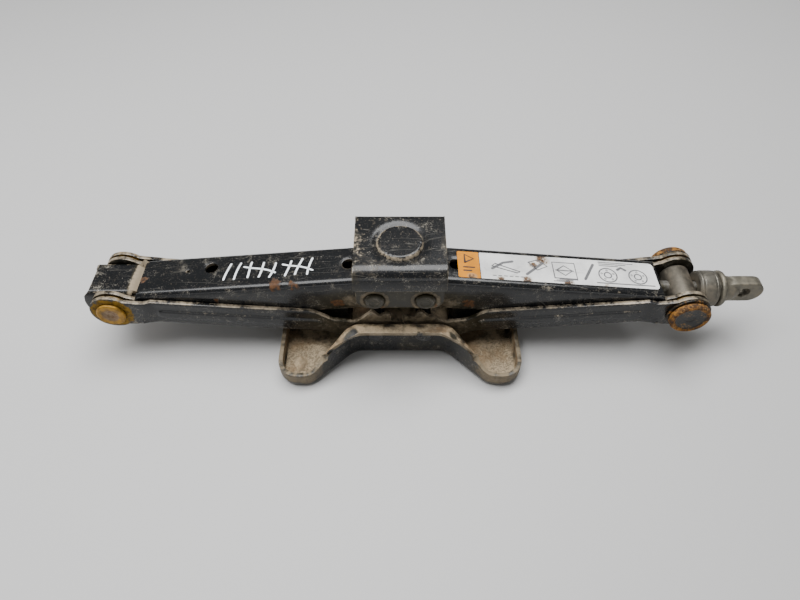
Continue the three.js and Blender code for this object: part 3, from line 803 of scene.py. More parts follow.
# The toothed inner ends of the arms: teeth to a full turn, half their height, their middle radius,
# and how far round the first one sits, as a share of a tooth.
TEETH, TOOTH, TOOTH_R = 9, 2.2, 14.8
TOOTH_PHASE = {"left": 0.5, "right": 0}


def teeth(start, end, phase, tilt):
    """The wavy toothed end of an arm, round its inner pin."""
    steps = round(abs(end - start) / 2)
    path = []
    for i in range(steps + 1):
        a = radians(start + (end - start) * i / steps)
        r = TOOTH_R + TOOTH * cos(TEETH * (a - (pi - tilt)) + phase * 2 * pi)
        path.append((r * cos(a), r * sin(a)))
    return path


def lower_flange(phase):
    """Side view of a lower arm's flange, from the inner end of its web round to the outer end."""
    far = ARM_LENGTH
    return rounded([
        (16, LOWER.fold), (12.5, -8.5, 3), *arc(0, 0, 12.6, 285, 210, 10), *teeth(204, 76, phase, REST_TILT),
        (9.5, 9, 2), (13.5, 5, 3), (30, 5, 10), (40, 10.5, 12), (far - 24, 10.5, 3), (far - 20, 9.8, 3),
        (far - 13, 9.8, 4), *arc(far, 0, 13, 128, -128, 44), (far - 14, -9.7, 3), (far - 18.4, LOWER.fold),
    ], closed=False)


def upper_flange(phase):
    """Side view of an upper arm's flange, from the inner end of its web round to the outer end."""
    far = ARM_LENGTH
    return rounded([
        (9.5, UPPER.fold), *arc(0, 0, 10.8, 70, 152, 12), *teeth(160, 286, phase, -REST_TILT),
        (10, -14, 4), (30, -14, 10), (far - 20, -9.5, 6), *arc(far, 0, 13, -130, 140, 44),
        (far - 14, 6.4, 3), (far - 16.5, UPPER.fold + 0.25),
    ], closed=False)


def pin_holes(channel):
    """The holes for an arm's inner pin and outer spigot, in the blanks of both flanges."""
    holes = []
    for s in (-channel.across(0), channel.across(0)):
        holes.append(circle(0, s, PIN_HOLE_R))
        holes.append(circle(ARM_LENGTH, s, SPIGOT_HOLE_R))
    return holes


def past_web(u, start, end):
    """0 along an arm's web, rising to 1 beyond either end of it."""
    return max(smooth(start - u, -1, 3), smooth(u - end, -1, 3))


def along_arm(inner, outer):
    """A function that takes a place on an arm (along, up, across) into the frame."""
    run = (outer - inner).normalized()
    rise = Vector((-run.z, 0, run.x))
    rise *= 1 if rise.z > 0 else -1
    return lambda u, v, y: inner + run * u + rise * v + Vector((0, y, 0))


def bead_height(u, v):
    """The raised bead along a lower arm's flange: a long strip with round ends."""
    start, end, middle, half = 37.5, ARM_LENGTH - 30.5, -0.6, 3.8
    away = hypot(u - max(start, min(end, u)), v - middle)
    return 1 - smooth(away, half - 1.6, half)


def lower_arm(side):
    inner, outer = BASE_PIN[side], END_PIN[side]
    spot = along_arm(inner, outer)
    rise = sizes().bead_rise / MM
    paint = look({"left": "stained_paint", "right": "arm_paint"}[side])
    stain_reach = {"left": (10.5, 16), "right": (11, 15)}[side]

    def place(u, s):
        y, v = LOWER.section(s, past_web(u, 16.0, ARM_LENGTH - 18.4))
        spread = 2.2 * (1 - smooth(u, 23, 33)) + 1.5 * smooth(u, ARM_LENGTH - 27, ARM_LENGTH - 19)
        sign = -1 if s < 0 else 1
        y += sign * spread * min(1, abs(s) / LOWER.flat)
        if abs(s) > LOWER.reach:
            y += sign * rise * bead_height(u, v)
        return spot(u, v, y)

    def marks(u, s):
        near_base = 1 - smooth(u, 12, 62)
        near_end = smooth(u, ARM_LENGTH - 26, ARM_LENGTH - 8)
        eye = 1 - smooth(hypot(u - ARM_LENGTH, abs(s) - LOWER.across(0)), *stain_reach)
        # Painted highlight: only the bead's upper shoulder gets a light worn line in its bend mark. It
        # stands in for the overhead light that the raised bead catches there.
        high = bead_height(u, LOWER.section(s)[1])
        painted_highlight = 4 * high * (1 - high) * (abs(s) > LOWER.across(-0.6))
        return max(LOWER.bend_mark(s), 1.15 * painted_highlight), max(near_base * 0.64, 0.3 * near_end), eye

    loops = [LOWER.outline(lower_flange(TOOTH_PHASE[side])), *pin_holes(LOWER)]
    bead_rows = [LOWER.across(v) for v in (-4.6, -3.9, -3.2, -2.6, 1.4, 2.0, 2.7, 3.4)]
    across = LOWER.lines(LOWER.across(10), coarse=2.6) + bead_rows + [-s for s in bead_rows]
    along = sorted(steps_between(-18, 45, 1.8) + steps_between(48, ARM_LENGTH - 34, 4.5)
                   + steps_between(ARM_LENGTH - 32, ARM_LENGTH + 13, 1.5))
    arm = bend_sheet("lower_channel_" + side, loops, grid(along, across), place,
                     sizes().arm_sheet / MM - 0.05, paint, marks)
    mount(arm, f"lower_{side}_arm", "black_paint", "lower_arm_" + side)


# Holes in the upper webs: radius, distance along, distance across.
UPPER_HOLES = {
    "left": ((4.2, 15.3, 0), (4.2, 101, 4), (1.3, 115.5, 2.5)),
    "right": ((4.2, 18, 0),),
}
# Rusty places on the upper arms: distance along, distance across the blank, radius.
RUST_SPOTS = {
    "left": (
        (ARM_LENGTH - 20, -2, 5.5), (97, -21, 6), (59, -12, 8), (48, -14, 6), (24, -30, 9), (130, 17, 8),
    ),
    "right": ((28, -30, 8), (ARM_LENGTH - 22, 22, 9), (70, 24, 7)),
}


def nearness(spots, u, s):
    """1 at the middle of a spot, 0 outside every spot."""
    return max(1 - smooth(hypot(u - a, s - b), 0.3 * r, r) for a, b, r in spots)


def upper_arm(side):
    inner, outer = SADDLE_PIN[side], END_PIN[side]
    spot = along_arm(inner, outer)

    def place(u, s):
        y, v = UPPER.section(s, past_web(u, 9.5, ARM_LENGTH - 16.5))
        for radius, along, off in UPPER_HOLES[side]:
            v -= 0.35 * (1 - smooth(hypot(u - along, s - off), radius, radius + 2.2))
        return spot(u, v, y)

    def marks(u, s):
        on_flange = smooth(abs(s), UPPER.reach, UPPER.reach + 8)
        near_end = smooth(u, ARM_LENGTH - 24, ARM_LENGTH - 10)
        soil = max(on_flange * (1 - smooth(u, 8, 60)) * 0.6, near_end * 0.3)
        return UPPER.bend_mark(s) * 0.7, soil, nearness(RUST_SPOTS[side], u, s) * 0.85

    loops = [UPPER.outline(upper_flange(TOOTH_PHASE[side])), *pin_holes(UPPER)]
    loops += [circle(along, off, radius) for radius, along, off in UPPER_HOLES[side]]
    across = UPPER.lines(UPPER.across(-14), coarse=3)
    along = sorted(steps_between(-17, 30, 1.8) + steps_between(33, ARM_LENGTH - 20, 4)
                   + steps_between(ARM_LENGTH - 18, ARM_LENGTH + 13, 1.5))
    rings = [p for radius, along, off in UPPER_HOLES[side] for grow in (0.7, 1.5, 2.4)
             for p in circle(along, off, radius + grow, 28)]
    arm = bend_sheet("upper_channel_" + side, loops, grid(along, across) + rings, place,
                     sizes().arm_sheet / MM, look("arm_paint"), marks, 0.45)
    mount(arm, f"upper_{side}_arm", "black_paint", "upper_arm_" + side)


def arms():
    for side in SIDES:
        lower_arm(side)
        upper_arm(side)


# ------------------------------------------------------------------ base
BASE_X, BASE_Y, WAIST_Y = 76, 49.5, 24
FOOT_WALL, EAR_TOP, LEDGE_REACH, TRAY_BEND = 13, 30.5, 7.7, 3.0
DIRT_X, DIRT_Y = 36, 10
# Places on the ledge where the dirt has been rubbed off: x, y, radius.
CLEAN_SPOTS = ((-31, -29.5, 7), (33, -30, 5), (44, -37, 4), (-44, -37, 3), (12, -31, 2.5))


def base_plan(inset):
    """Plan of the base, drawn in from its outside."""
    corner = 13 - inset
    quarter = [
        (BASE_X - inset, BASE_Y - inset, corner),
        (55.5 - inset * 0.4, BASE_Y - inset, corner + 1),
        (29.5 - inset * 0.4, WAIST_Y - inset, 14 + inset),
    ]
    half = quarter + [(-x, y, r) for x, y, r in reversed(quarter)]
    return half + [(x, -y, r) for x, y, r in reversed(half)]


def wall_height(x):
    """Height of the base's edge: low round the feet, rising to the ears."""
    a = abs(x)
    low = smooth(a, 31, 56)
    return EAR_TOP + (FOOT_WALL - EAR_TOP) * (0.75 * low + 0.25 * max(0, min(1, (a - 31) / 24)))


def even_steps(loop, step):
    """The loop with points about a step apart, in the same places whatever its corners."""
    loop = loop + loop[:1]
    path = []
    for a, b in zip(loop, loop[1:]):
        count = max(1, round(hypot(b[0] - a[0], b[1] - a[1]) / step))
        path += [(a[0] + (b[0] - a[0]) * k / count, a[1] + (b[1] - a[1]) * k / count)
                 for k in range(count)]
    return path


def floor_height(x, y):
    """The middle of the floor's sheet, with its four domes."""
    lift = 0.0
    for cx in (-50, 50):
        for cy in (-27, 27):
            away = hypot(x - cx, y - cy) / 13
            lift += sizes().dome_rise / MM * (1 - smooth(away, 0.0, 1.0))
    return sizes().base_sheet / MM / 2 + lift


def outward(loop):
    """The level direction out of the loop at each of its points."""
    ways = []
    for i in range(len(loop)):
        run = (loop[(i + 1) % len(loop)] - loop[i - 1]).normalized()
        ways.append(Vector((run.y, -run.x)))
    sign = 1 if ways[0].dot(loop[0]) > 0 else -1
    return [way * sign for way in ways]


def tray_wall(point, way):
    """The base's section at a place on its rim, from the floor's edge up, and out along the ledge.

    Each point is x, y, z and its values "rim", "bend" and "soil".
    """
    half_sheet = sizes().base_sheet / MM / 2
    from_middle = abs(point.x)
    ledge = LEDGE_REACH * (1 - smooth(from_middle, 30, 46))
    turn = min(2.6, ledge)
    in_foot = smooth(from_middle, 38, 56)
    low, high = half_sheet + TRAY_BEND, wall_height(point.x) - half_sheet - turn
    section = []
    for k in range(6):
        a = pi / 2 * k / 5
        spot = point - way * TRAY_BEND * (1 - sin(a))
        section.append((*spot, half_sheet + TRAY_BEND * (1 - cos(a)), 0, 0.6, 0.15 + 0.45 * in_foot))
    for k in range(1, 9):
        z = low + (high - low) * k / 8
        near_top = 0.0 if ledge > 1 else max(0.0, 1 - (high - z) / 3)
        section.append((*point, z, near_top, 0, 0.2 + 0.5 * in_foot))
    for k in range(1, 5):
        a = pi / 2 * k / 4
        spot = point + way * turn * (1 - cos(a))
        section.append((*spot, high + turn * sin(a), 0, 0.7, 0.6))
    for k in range(1, 4):
        spot = point + way * (turn + (ledge - turn) * k / 3)
        soil = 0.8 - 0.6 * nearness(CLEAN_SPOTS, spot.x, spot.y)
        section.append((*spot, high + turn, k / 3 * min(1, ledge / 2), 0, soil))
    return section


def base_tray():
    """The pressed base: its wall swept round the plan, and its floor filled in with the four domes."""
    half_sheet = sizes().base_sheet / MM / 2
    rim = [Vector(p) for p in even_steps(rounded(base_plan(half_sheet), step=7), 2.2)]
    bm = bmesh.new()
    layers = [bm.verts.layers.float.new(key) for key in ("rim", "bend", "soil")]

    def add(x, y, z, *values):
        vert = bm.verts.new((x, y, z))
        for layer, value in zip(layers, values):
            vert[layer] = value
        return vert

    columns = [[add(*row) for row in tray_wall(point, way)] for point, way in zip(rim, outward(rim))]
    for this, following in zip(columns, columns[1:] + columns[:1]):
        for corners in zip(this, following, following[1:], this[1:]):
            bm.faces.new(corners)
    border = [(column[0].co.x, column[0].co.y) for column in columns]
    spots = grid(steps_between(-74, 74, 3.0), steps_between(-48, 48, 3.0))
    points, triangles = fill([border], spots, 1.2)
    floor = []
    for i, (x, y) in enumerate(points):
        if i < len(border) and hypot(x - border[i][0], y - border[i][1]) < 1e-3:
            floor.append(columns[i][0])
        else:
            floor.append(add(x, y, floor_height(x, y), 0, 0, 0.75 + 0.25 * smooth(abs(y), 15, 35)))
    for triangle in triangles:
        corners = [floor[k] for k in triangle]
        if len(set(corners)) == 3:
            bm.faces.new(corners)
    bmesh.ops.remove_doubles(bm, verts=bm.verts, dist=0.004)
    bmesh.ops.dissolve_degenerate(bm, dist=0.004, edges=bm.edges)
    bmesh.ops.recalc_face_normals(bm, faces=bm.faces)
    bm.faces.ensure_lookup_table()
    middle = min(bm.faces, key=lambda face: face.calc_center_median().length)
    if middle.normal.z > 0:
        bmesh.ops.reverse_faces(bm, faces=bm.faces)
    tray = new_object("base_tray", bm, [look("base_paint"), look("base_dirt")])
    thicken(tray, 2 * half_sheet, materials_apart=1)
    make_plain(tray)
    mount(tray, "base", "dusty_paint", "base_plate")


def dirt_depth(x, y, gap, number):
    """Depth of a heap at a place: banked up near the walls, lumpy, and thin towards the middle."""
    lumps = noise.fractal(Vector((x, y, number * 9)) * 0.13, 0.9, 2.1, 5)
    clods = noise.fractal(Vector((x, y, number * 5)) * 0.55, 0.8, 2.2, 4)
    edge = smooth(abs(x), DIRT_X, DIRT_X + 10) * smooth(abs(y), DIRT_Y, DIRT_Y + 12)
    bank = 1 - smooth(gap, 0, 9) + 0.45
    return edge * (bank + 0.9 * lumps + 0.35 * clods)


def settled_dirt():
    """Dry dirt lying in the four corners of the tray, deepest against the walls."""
    border = even_steps(rounded(base_plan(3.4), step=10), 1.6)
    above_floor = sizes().base_sheet / MM / 2 - 0.35
    for number, (sx, sy) in enumerate(((-1, -1), (1, -1), (-1, 1), (1, 1)), start=1):
        loop = [(x, y) for x, y in border if x * sx > DIRT_X and y * sy > DIRT_Y]
        spots = grid(steps_between(DIRT_X, 74, 1.1), steps_between(DIRT_Y, 47, 1.1))
        points, triangles = fill([loop], [(x * sx, y * sy) for x, y in spots], 0.5)
        bm = bmesh.new()
        for (x, y), gap in zip(points, distance(points, [loop])):
            depth = max(-0.3, dirt_depth(x, y, gap, number))
            bm.verts.new((x, y, floor_height(x, y) + above_floor + depth))
        add_triangles(bm, triangles)
        if sum(face.normal.z for face in bm.faces) < 0:
            bmesh.ops.reverse_faces(bm, faces=bm.faces)
        heap = new_object(f"settled_dirt_{number}", bm, [look("dry_dirt")], 80)
        wall = heap.modifiers.new("wall", "SOLIDIFY")
        wall.thickness = 0.9 * MM
        wall.offset = -1
        make_plain(heap, 80)
        mount(heap, "base", "dusty_paint")
        scatter_grit(heap, number)


# ------------------------------------------------------------------ geometry node helpers
class Tree:
    """A Geometry Nodes tree built in code, with named inputs."""

    def __init__(self, name):
        self.group = bpy.data.node_groups.new(name, "GeometryNodeTree")
        self.group.interface.new_socket("Geometry", in_out="INPUT", socket_type="NodeSocketGeometry")
        self.group.interface.new_socket("Geometry", in_out="OUTPUT", socket_type="NodeSocketGeometry")
        self.entry = self.group.nodes.new("NodeGroupInput")
        self.exit = self.group.nodes.new("NodeGroupOutput")
        self.keys = {}

    def size(self, name, value, kind="NodeSocketFloat"):
        """A named input and its value."""
        socket = self.group.interface.new_socket(name, in_out="INPUT", socket_type=kind)
        self.keys[socket.identifier] = value
        return self.entry.outputs[name]

    def node(self, kind, settings=None, values=None, output=0):
        made = self.group.nodes.new(kind)
        for key, value in (settings or {}).items():
            setattr(made, key, value)
        for key, value in (values or {}).items():
            if isinstance(value, bpy.types.NodeSocket):
                self.group.links.new(value, made.inputs[key])
            else:
                made.inputs[key].default_value = value
        return made.outputs[output]

    def math(self, operation, first, second):
        return self.node("ShaderNodeMath", {"operation": operation}, {0: first, 1: second})

    def end(self, made, material):
        real = self.node("GeometryNodeRealizeInstances", None, {0: made})
        done = self.node("GeometryNodeSetMaterial", None, {"Geometry": real, "Material": material})
        self.group.links.new(done, self.exit.inputs[0])

    def make(self, name, base=None, sharp=38):
        """A plain mesh object from the tree. base is an object whose mesh it works on."""
        mesh = base.data.copy() if base else bpy.data.meshes.new(name)
        obj = bpy.data.objects.new(name, mesh)
        bpy.context.scene.collection.objects.link(obj)
        modifier = obj.modifiers.new("shape", "NODES")
        modifier.node_group = self.group
        for key, value in self.keys.items():
            modifier[key] = value
        return make_plain(obj, sharp)


def scatter_grit(heap, number):
    """Grains and small stones on a heap of dirt."""
    tree = Tree(f"grit_{number}")
    largest = tree.size("Largest grain", sizes().grit)
    density = tree.size("Grains per square metre", 190000.0)
    seed = tree.size("Seed", number, "NodeSocketInt")
    normal = tree.node("GeometryNodeInputNormal")
    facing = tree.node("ShaderNodeSeparateXYZ", None, {0: normal}, output="Z")
    upward = tree.node("FunctionNodeCompare", {"operation": "GREATER_THAN"}, {0: facing, 1: 0.6})
    spots = tree.node("GeometryNodeDistributePointsOnFaces", None, {
        "Mesh": tree.entry.outputs[0], "Selection": upward, "Density": density, "Seed": seed,
    })
    grain = tree.node("GeometryNodeMeshIcoSphere", None, {"Radius": 0.5, "Subdivisions": 1})
    bulk = tree.node("FunctionNodeRandomValue", {"data_type": "FLOAT"}, {2: 0.12, 3: 0.75, "Seed": seed},
                     output=1)
    cubed = tree.math("POWER", bulk, 2.2)
    scale = tree.math("MULTIPLY", cubed, largest)
    flat = tree.node("ShaderNodeCombineXYZ", None, {0: scale, 1: scale, 2: scale})
    turn = tree.node("FunctionNodeRandomValue", {"data_type": "FLOAT_VECTOR"},
                     {0: (0.0, 0.0, 0.0), 1: (3.0, 3.0, 6.3), "Seed": seed})
    grains = tree.node("GeometryNodeInstanceOnPoints", None, {
        "Points": spots, "Instance": grain, "Scale": flat, "Rotation": turn,
    })
    tree.end(grains, look("dry_dirt"))
    grit = tree.make(f"grit_grains_{number}", heap, 80)
    mount(grit, "base", "dusty_paint")


# ------------------------------------------------------------------ rivets and washers
def head_marks(full, face):
    """Marks for a rivet head: its rim counts from a share of its radius outwards."""
    return lambda r, h: (smooth(r, full * face, full * (face + 0.12)), 0.0)


def rivet(name, r, near, profile, centre, material, marks):
    """A pin along Y with the same head on each end. profile is the head, from its underside out."""
    half = [(r, near - 0.2)] + [(a, near + b, *c) for a, b, *c in profile]
    return lathe(name, both_ends(half), "y", centre, material, marks=marks)


def base_rivets():
    for side in SIDES:
        profile = [(5.6, 0), (5.6, 1.3, 0.6), (4.6, 2.3, 0.8), (2.2, 2.3), (1.6, 1.9), (0, 1.9)]
        pin = rivet("base_rivet_" + side, PIN_R, 24.3, profile, BASE_PIN[side],
                    look("rivet_paint"), lambda r, h: (0.0, 0.1))
        mount(pin, "base", "dusty_paint", "base_pin_" + side)


def saddle_rivets():
    for side in SIDES:
        profile = [(6.2, 0), (6.2, 1.0, 0.5), (5.2, 2.0, 0.8), (3.4, 2.2, 1.0), (2.6, 1.7, 0.4), (0, 1.5)]
        pin = rivet("saddle_rivet_" + side, PIN_R, 22.8, profile, SADDLE_PIN[side],
                    look("greasy_paint"),
                    lambda r, h: (0.35 * (abs(h) > 24), 0.45))
        mount(pin, "saddle", "dusty_paint", "saddle_pin_" + side)
        for face, sign in FACES.items():
            bush = washer(f"saddle_bush_ring_{side}_{face}", (PIN_HOLE_R, 9),
                          (sign * WASHER_IN, sign * BUSH_OUT), 0.5, "y", SADDLE_PIN[side],
                          look("greasy_steel"))
            mount(bush, "saddle", "greased_steel", f"saddle_bush_{side}_{face}")


def pivot_washers():
    for side in SIDES:
        for face, sign in FACES.items():
            spacer = washer(f"pivot_spacer_{side}_{face}", (SPIGOT_HOLE_R, 11.5),
                            (sign * WASHER_IN, sign * WASHER_OUT), 0.4, "y", END_PIN[side],
                            look("zinc_plate"), lambda r, h: (1.0, 0.0))
            mount(spacer, f"{side}_trunnion", "zinc_steel", f"pivot_washer_{side}_{face}")


# ------------------------------------------------------------------ saddle
# The saddle's cap: a wide bend in front, a tight one at the rear.
PAD_FRONT = Channel(24.05, 75.25, 7.25, 1)
PAD_REAR = Channel(24.05, 75.25, 1.95, 1)
PAD_X = 27
PAD_FOOT = 63.1
BOSS_R = 12.8
BOSS_Y = 1.3


def boss_height(r):
    """Height of the pad round its middle: a boss with a crisp edge, in a shallow moat."""
    moat = 1.3
    rise = sizes().boss_rise / MM
    bowl = -moat * (1 - smooth(r, BOSS_R + 0.9, BOSS_R + 5.2))
    return bowl + (rise + moat) * (1 - smooth(r, BOSS_R - 0.6, BOSS_R + 0.6))


def saddle_cap():
    front, rear = -PAD_FRONT.across(PAD_FOOT), PAD_REAR.across(PAD_FOOT)
    loop = rounded([(-PAD_X, front, 1.5), (PAD_X, front, 1.5), (PAD_X, rear, 1.5), (-PAD_X, rear, 1.5)])

    def place(u, s):
        y, z = (PAD_FRONT if s < 0 else PAD_REAR).section(s)
        return u, y, z + boss_height(hypot(u, s - BOSS_Y))

    def marks(u, s):
        fold = PAD_FRONT if s < 0 else PAD_REAR
        ring = max(0.0, 1 - abs(hypot(u, s - BOSS_Y) - BOSS_R + 0.2) / 1.1)
        low = smooth(abs(s), fold.reach - 4, fold.reach + 9)
        on_top = 1 - smooth(abs(s), fold.flat - 2, fold.flat + 6)
        scuffed = max(smooth(-u, 12, 25), 0.75 * smooth(u, 17, 26), 0.8 * smooth(s, 15, 22)) * on_top
        soil = 0.25 * smooth(abs(u), 20, 27) + 0.38 * low
        return max(fold.bend_mark(s) * 0.45, ring * 1.5, scuffed * 0.9), soil, 0.4 * scuffed

    middle = [p for k in range(18) for p in circle(0, BOSS_Y, 1 + k * 0.95, 24 + 3 * k)]
    edge = [p for k in range(7) for p in circle(0, BOSS_Y, BOSS_R - 0.7 + 0.3 * k, 84)]
    across = [s for s in PAD_FRONT.lines(-front - 0.5, coarse=2.2) if s < 0]
    across += [s for s in PAD_REAR.lines(rear - 0.5, coarse=2.2) if s > 0]
    outer = [p for p in grid(steps_between(-26, 26, 2.2), across) if hypot(p[0], p[1] - BOSS_Y) > 18.5]
    cap = bend_sheet("saddle_pad", [even_steps(loop, 2.5)], middle + edge + outer, place, 2.5,
                     look("saddle_paint"), marks, 0.5)
    mount(cap, "saddle", "black_paint", "saddle_cap")


def saddle_cheeks():
    """The saddle's side plates, each with a pressed ring round both of its rivets."""
    pins = [(pin.x, pin.z) for pin in SADDLE_PIN.values()]
    loop = rounded([(-26, 45, 7), (26, 45, 7), (26, 67.5, 2), (-26, 67.5, 2)])
    loops = [even_steps(loop, 2), *(circle(*p, PIN_HOLE_R) for p in pins)]
    rings = [p for px, pz in pins for r in (6.3, 7.1, 7.6, 8.1, 9.2) for p in circle(px, pz, r, 40)]
    spots = grid(steps_between(-25, 25, 2), steps_between(46, 67, 2))
    spots = [p for p in spots if all(hypot(p[0] - px, p[1] - pz) > 9.8 for px, pz in pins)]

    def near_ring(x, z, reach):
        return max(1 - smooth(abs(hypot(x - px, z - pz) - 7.6), 0.3, reach) for px, pz in pins)

    def marks(x, z):
        ring = near_ring(x, z, 1.8)
        return 0.1, 0.42 + 0.2 * ring, 0.4 * ring + 0.25 * smooth(z, 56, 46)

    for face, sign in FACES.items():
        cheek = bend_sheet("saddle_side_" + face, loops, spots + rings,
                           lambda x, z: (x, sign * (21.25 + 0.45 * near_ring(x, z, 1.5)), z),
                           2.5, look("greasy_paint"), marks, 0.4)
        mount(cheek, "saddle", "dusty_paint", "saddle_cheek_" + face)


# ------------------------------------------------------------------ left end
HOUSING = Channel(11.7, 9.5, 2.3, 1)


def nut_housing():
    middle = END_PIN["left"]
    r = 18
    low_angle = degrees(asin(HOUSING.fold / r))
    cheek = rounded([
        *arc(0, 0, r, 180 - low_angle, 314, 40), (12.5, 5.2, 2), (11.8, HOUSING.fold),
    ], closed=False)
    one = [(u, HOUSING.across(v)) for u, v in cheek]
    tongue = [(12.2, 10.9), (21, 10.9)]
    left_edge = [(-13.4, HOUSING.flat + 1)]
    half = left_edge + one + tongue
    loop = half + [(u, -s) for u, s in reversed(half)]

    def place(u, s):
        share = smooth(-u, 13.2, 15.5)
        y, v = HOUSING.section(s, share if abs(s) > HOUSING.flat else 0)
        v -= 2.4 * smooth(u, 11.3, 14.6) * (abs(s) < 11.2)
        return middle + Vector((u, y, v))

    def marks(u, s):
        on_tongue = smooth(u, 7, 13)
        lower = smooth(abs(s), HOUSING.reach + 1, HOUSING.reach + 6)
        rubbed = 1.9 * smooth(u, 8, 13)
        return max(HOUSING.bend_mark(s) * (u < 12), rubbed), max(on_tongue, 0.3 * lower), 0.3 * lower

    sleeve = [circle(0, sign * HOUSING.across(0), SPIGOT_HOLE_R) for sign in (-1, 1)]
    spots = grid(steps_between(-17.5, 20.5, 1.5), HOUSING.lines(HOUSING.across(-17.5), coarse=2))
    cover = bend_sheet("nut_cover", [loop, *sleeve], spots, place, 2.0,
                       look("cover_paint"), marks, 0.45)
    mount(cover, "left_trunnion", "black_paint", "nut_housing")


def nut_rivet():
    profile = [
        (7.9, 0, 0.3), (8.7, 0.6, 0.4), (8.6, 1.8, 0.5), (7.7, 2.45, 0.5), (6.9, 2.2, 0.4), (2.4, 2.3, 0.4),
        (1.5, 1.7, 0.4), (0, 1.6),
    ]
    pin = rivet("nut_rivet", SPIGOT_R, 20.0, profile, END_PIN["left"], look("zinc_plate"),
                head_marks(8.7, 0.66))
    mount(pin, "left_trunnion", "zinc_steel", "trunnion_nut")


def nut_block():
    """The square middle of the nut, bored for the screw."""
    outline = rounded([(-10.4, -8.2, 2), (10.4, -8.2, 2), (10.4, 8.2, 2), (-10.4, 8.2, 2)])
    bore = circle(0, 0, SCREW_R + 0.25, 40)
    block = bend_sheet("nut_block", [outline, bore], grid(steps_between(-9, 9, 3), (-6, 6)),
                       lambda y, z: END_PIN["left"] + Vector((0, y, z)), 18, look("zinc_plate"))
    mount(block, "left_trunnion", "zinc_steel")


# ------------------------------------------------------------------ right end
def bearing_bar():
    half = [(9, 11.8, 0.6), (7.9, 12.7, 0.4), (0, 12.7)]
    bar = lathe("bearing_bar", both_ends(half), "y", END_PIN["right"], look("bar_steel"))
    mount(bar, "right_trunnion", "worn_steel")


def bearing_rivet():
    profile = [
        (11.2, 0, 0.3), (12, 0.7, 0.5), (12, 2.9, 0.8), (11.2, 4.1, 0.7), (10.3, 4.3, 0.5), (9.5, 3.7, 0.5),
        (8.4, 3.2, 0.8), (3.2, 3.1, 0.5), (2.4, 2.8, 0.4), (0, 2.7),
    ]
    pin = rivet("bearing_rivet", SPIGOT_R, 21.6, profile, END_PIN["right"],
                look("rusty_head"), head_marks(12, 0.70))
    mount(pin, "right_trunnion", "rusty_steel", "bearing_trunnion")


def head_washers():
    for face, sign in FACES.items():
        under_head = washer("rivet_washer_" + face, (SPIGOT_HOLE_R, 13), (sign * 20.0, sign * 21.3), 0.5,
                            "y", END_PIN["right"], look("rusty_head"), lambda r, h: (0.25, 0.0))
        mount(under_head, "right_trunnion", "rusty_steel", "head_washer_" + face)


def on_screw(x=0.0):
    return Vector((x, 0, SCREW_Z))


def bearing_cup():
    cup = lathe("bearing_cup_shell", [
        (JOURNAL_HOLE_R, 185.3), (10.0, 185.3, 0.5), (11.3, 186.4, 0.8), (11.3, 187.6, 0.3),
        (11.0, 187.9, 0.3), (11.5, 188.4, 0.4), (11.5, 194.6, 0.3), (11.15, 195.1, 0.3),
        (11.4, 195.6, 0.3), (11.2, 197, 0.5), (9.7, 197, 0.3), (9.7, 187.7), (JOURNAL_HOLE_R, 187.7),
    ], "x", on_screw(), look("cup_steel"), ring=True)
    mount(cup, "right_trunnion", "worn_steel", "bearing_cup")


def thrust_races():
    for name, body, low, high in (
        ("inner", "right_trunnion", 188.0, 190.0), ("outer", "screw", 193.4, 195.3),
    ):
        race = washer("race_ring_" + name, (JOURNAL_HOLE_R, 9.4), (low, high), 0.4, "x", on_screw(),
                      look("bright_steel"))
        mount(race, body, "bright_steel", "thrust_race_" + name)


def ball_ring():
    """The balls of the thrust bearing, set round a circle, and the cage between them."""
    tree = Tree("ball_ring")
    count = tree.size("Balls", sizes().balls, "NodeSocketInt")
    pitch = tree.size("Ring radius", BALL_RING_R * MM)
    ball_r = tree.size("Ball radius", BALL_R * MM)
    places = tree.node("GeometryNodeMeshCircle", None, {"Vertices": count, "Radius": pitch})
    ball = tree.node("GeometryNodeMeshUVSphere", None, {"Segments": 24, "Rings": 14, "Radius": ball_r})
    balls = tree.node("GeometryNodeInstanceOnPoints", None, {"Points": places, "Instance": ball})
    moved = tree.node("GeometryNodeTransform", None, {
        "Geometry": balls, "Rotation": (0, pi / 2, 0), "Translation": on_screw(BALLS_X) * MM,
    })
    tree.end(moved, look("bright_steel"))
    balls_made = tree.make("bearing_balls_ring")
    nodes = [f"thrust_ball_{i + 1}" for i in range(sizes().balls)]
    mount(balls_made, "bearing_balls", "bright_steel", *nodes)
    turns = [2 * pi * i / sizes().balls for i in range(sizes().balls)]
    pockets = [circle(BALL_RING_R * cos(a), BALL_RING_R * sin(a), BALL_R + 0.2, 12) for a in turns]
    cage = bend_sheet("bearing_cage", [circle(0, 0, 9.2, 64), circle(0, 0, 5.4, 48), *pockets],
                      grid((0,), (0,)), lambda a, b: on_screw(BALLS_X) + Vector((0, a, b)), 0.9,
                      look("greasy_steel"))
    mount(cage, "bearing_balls", "bright_steel", "ball_cage")


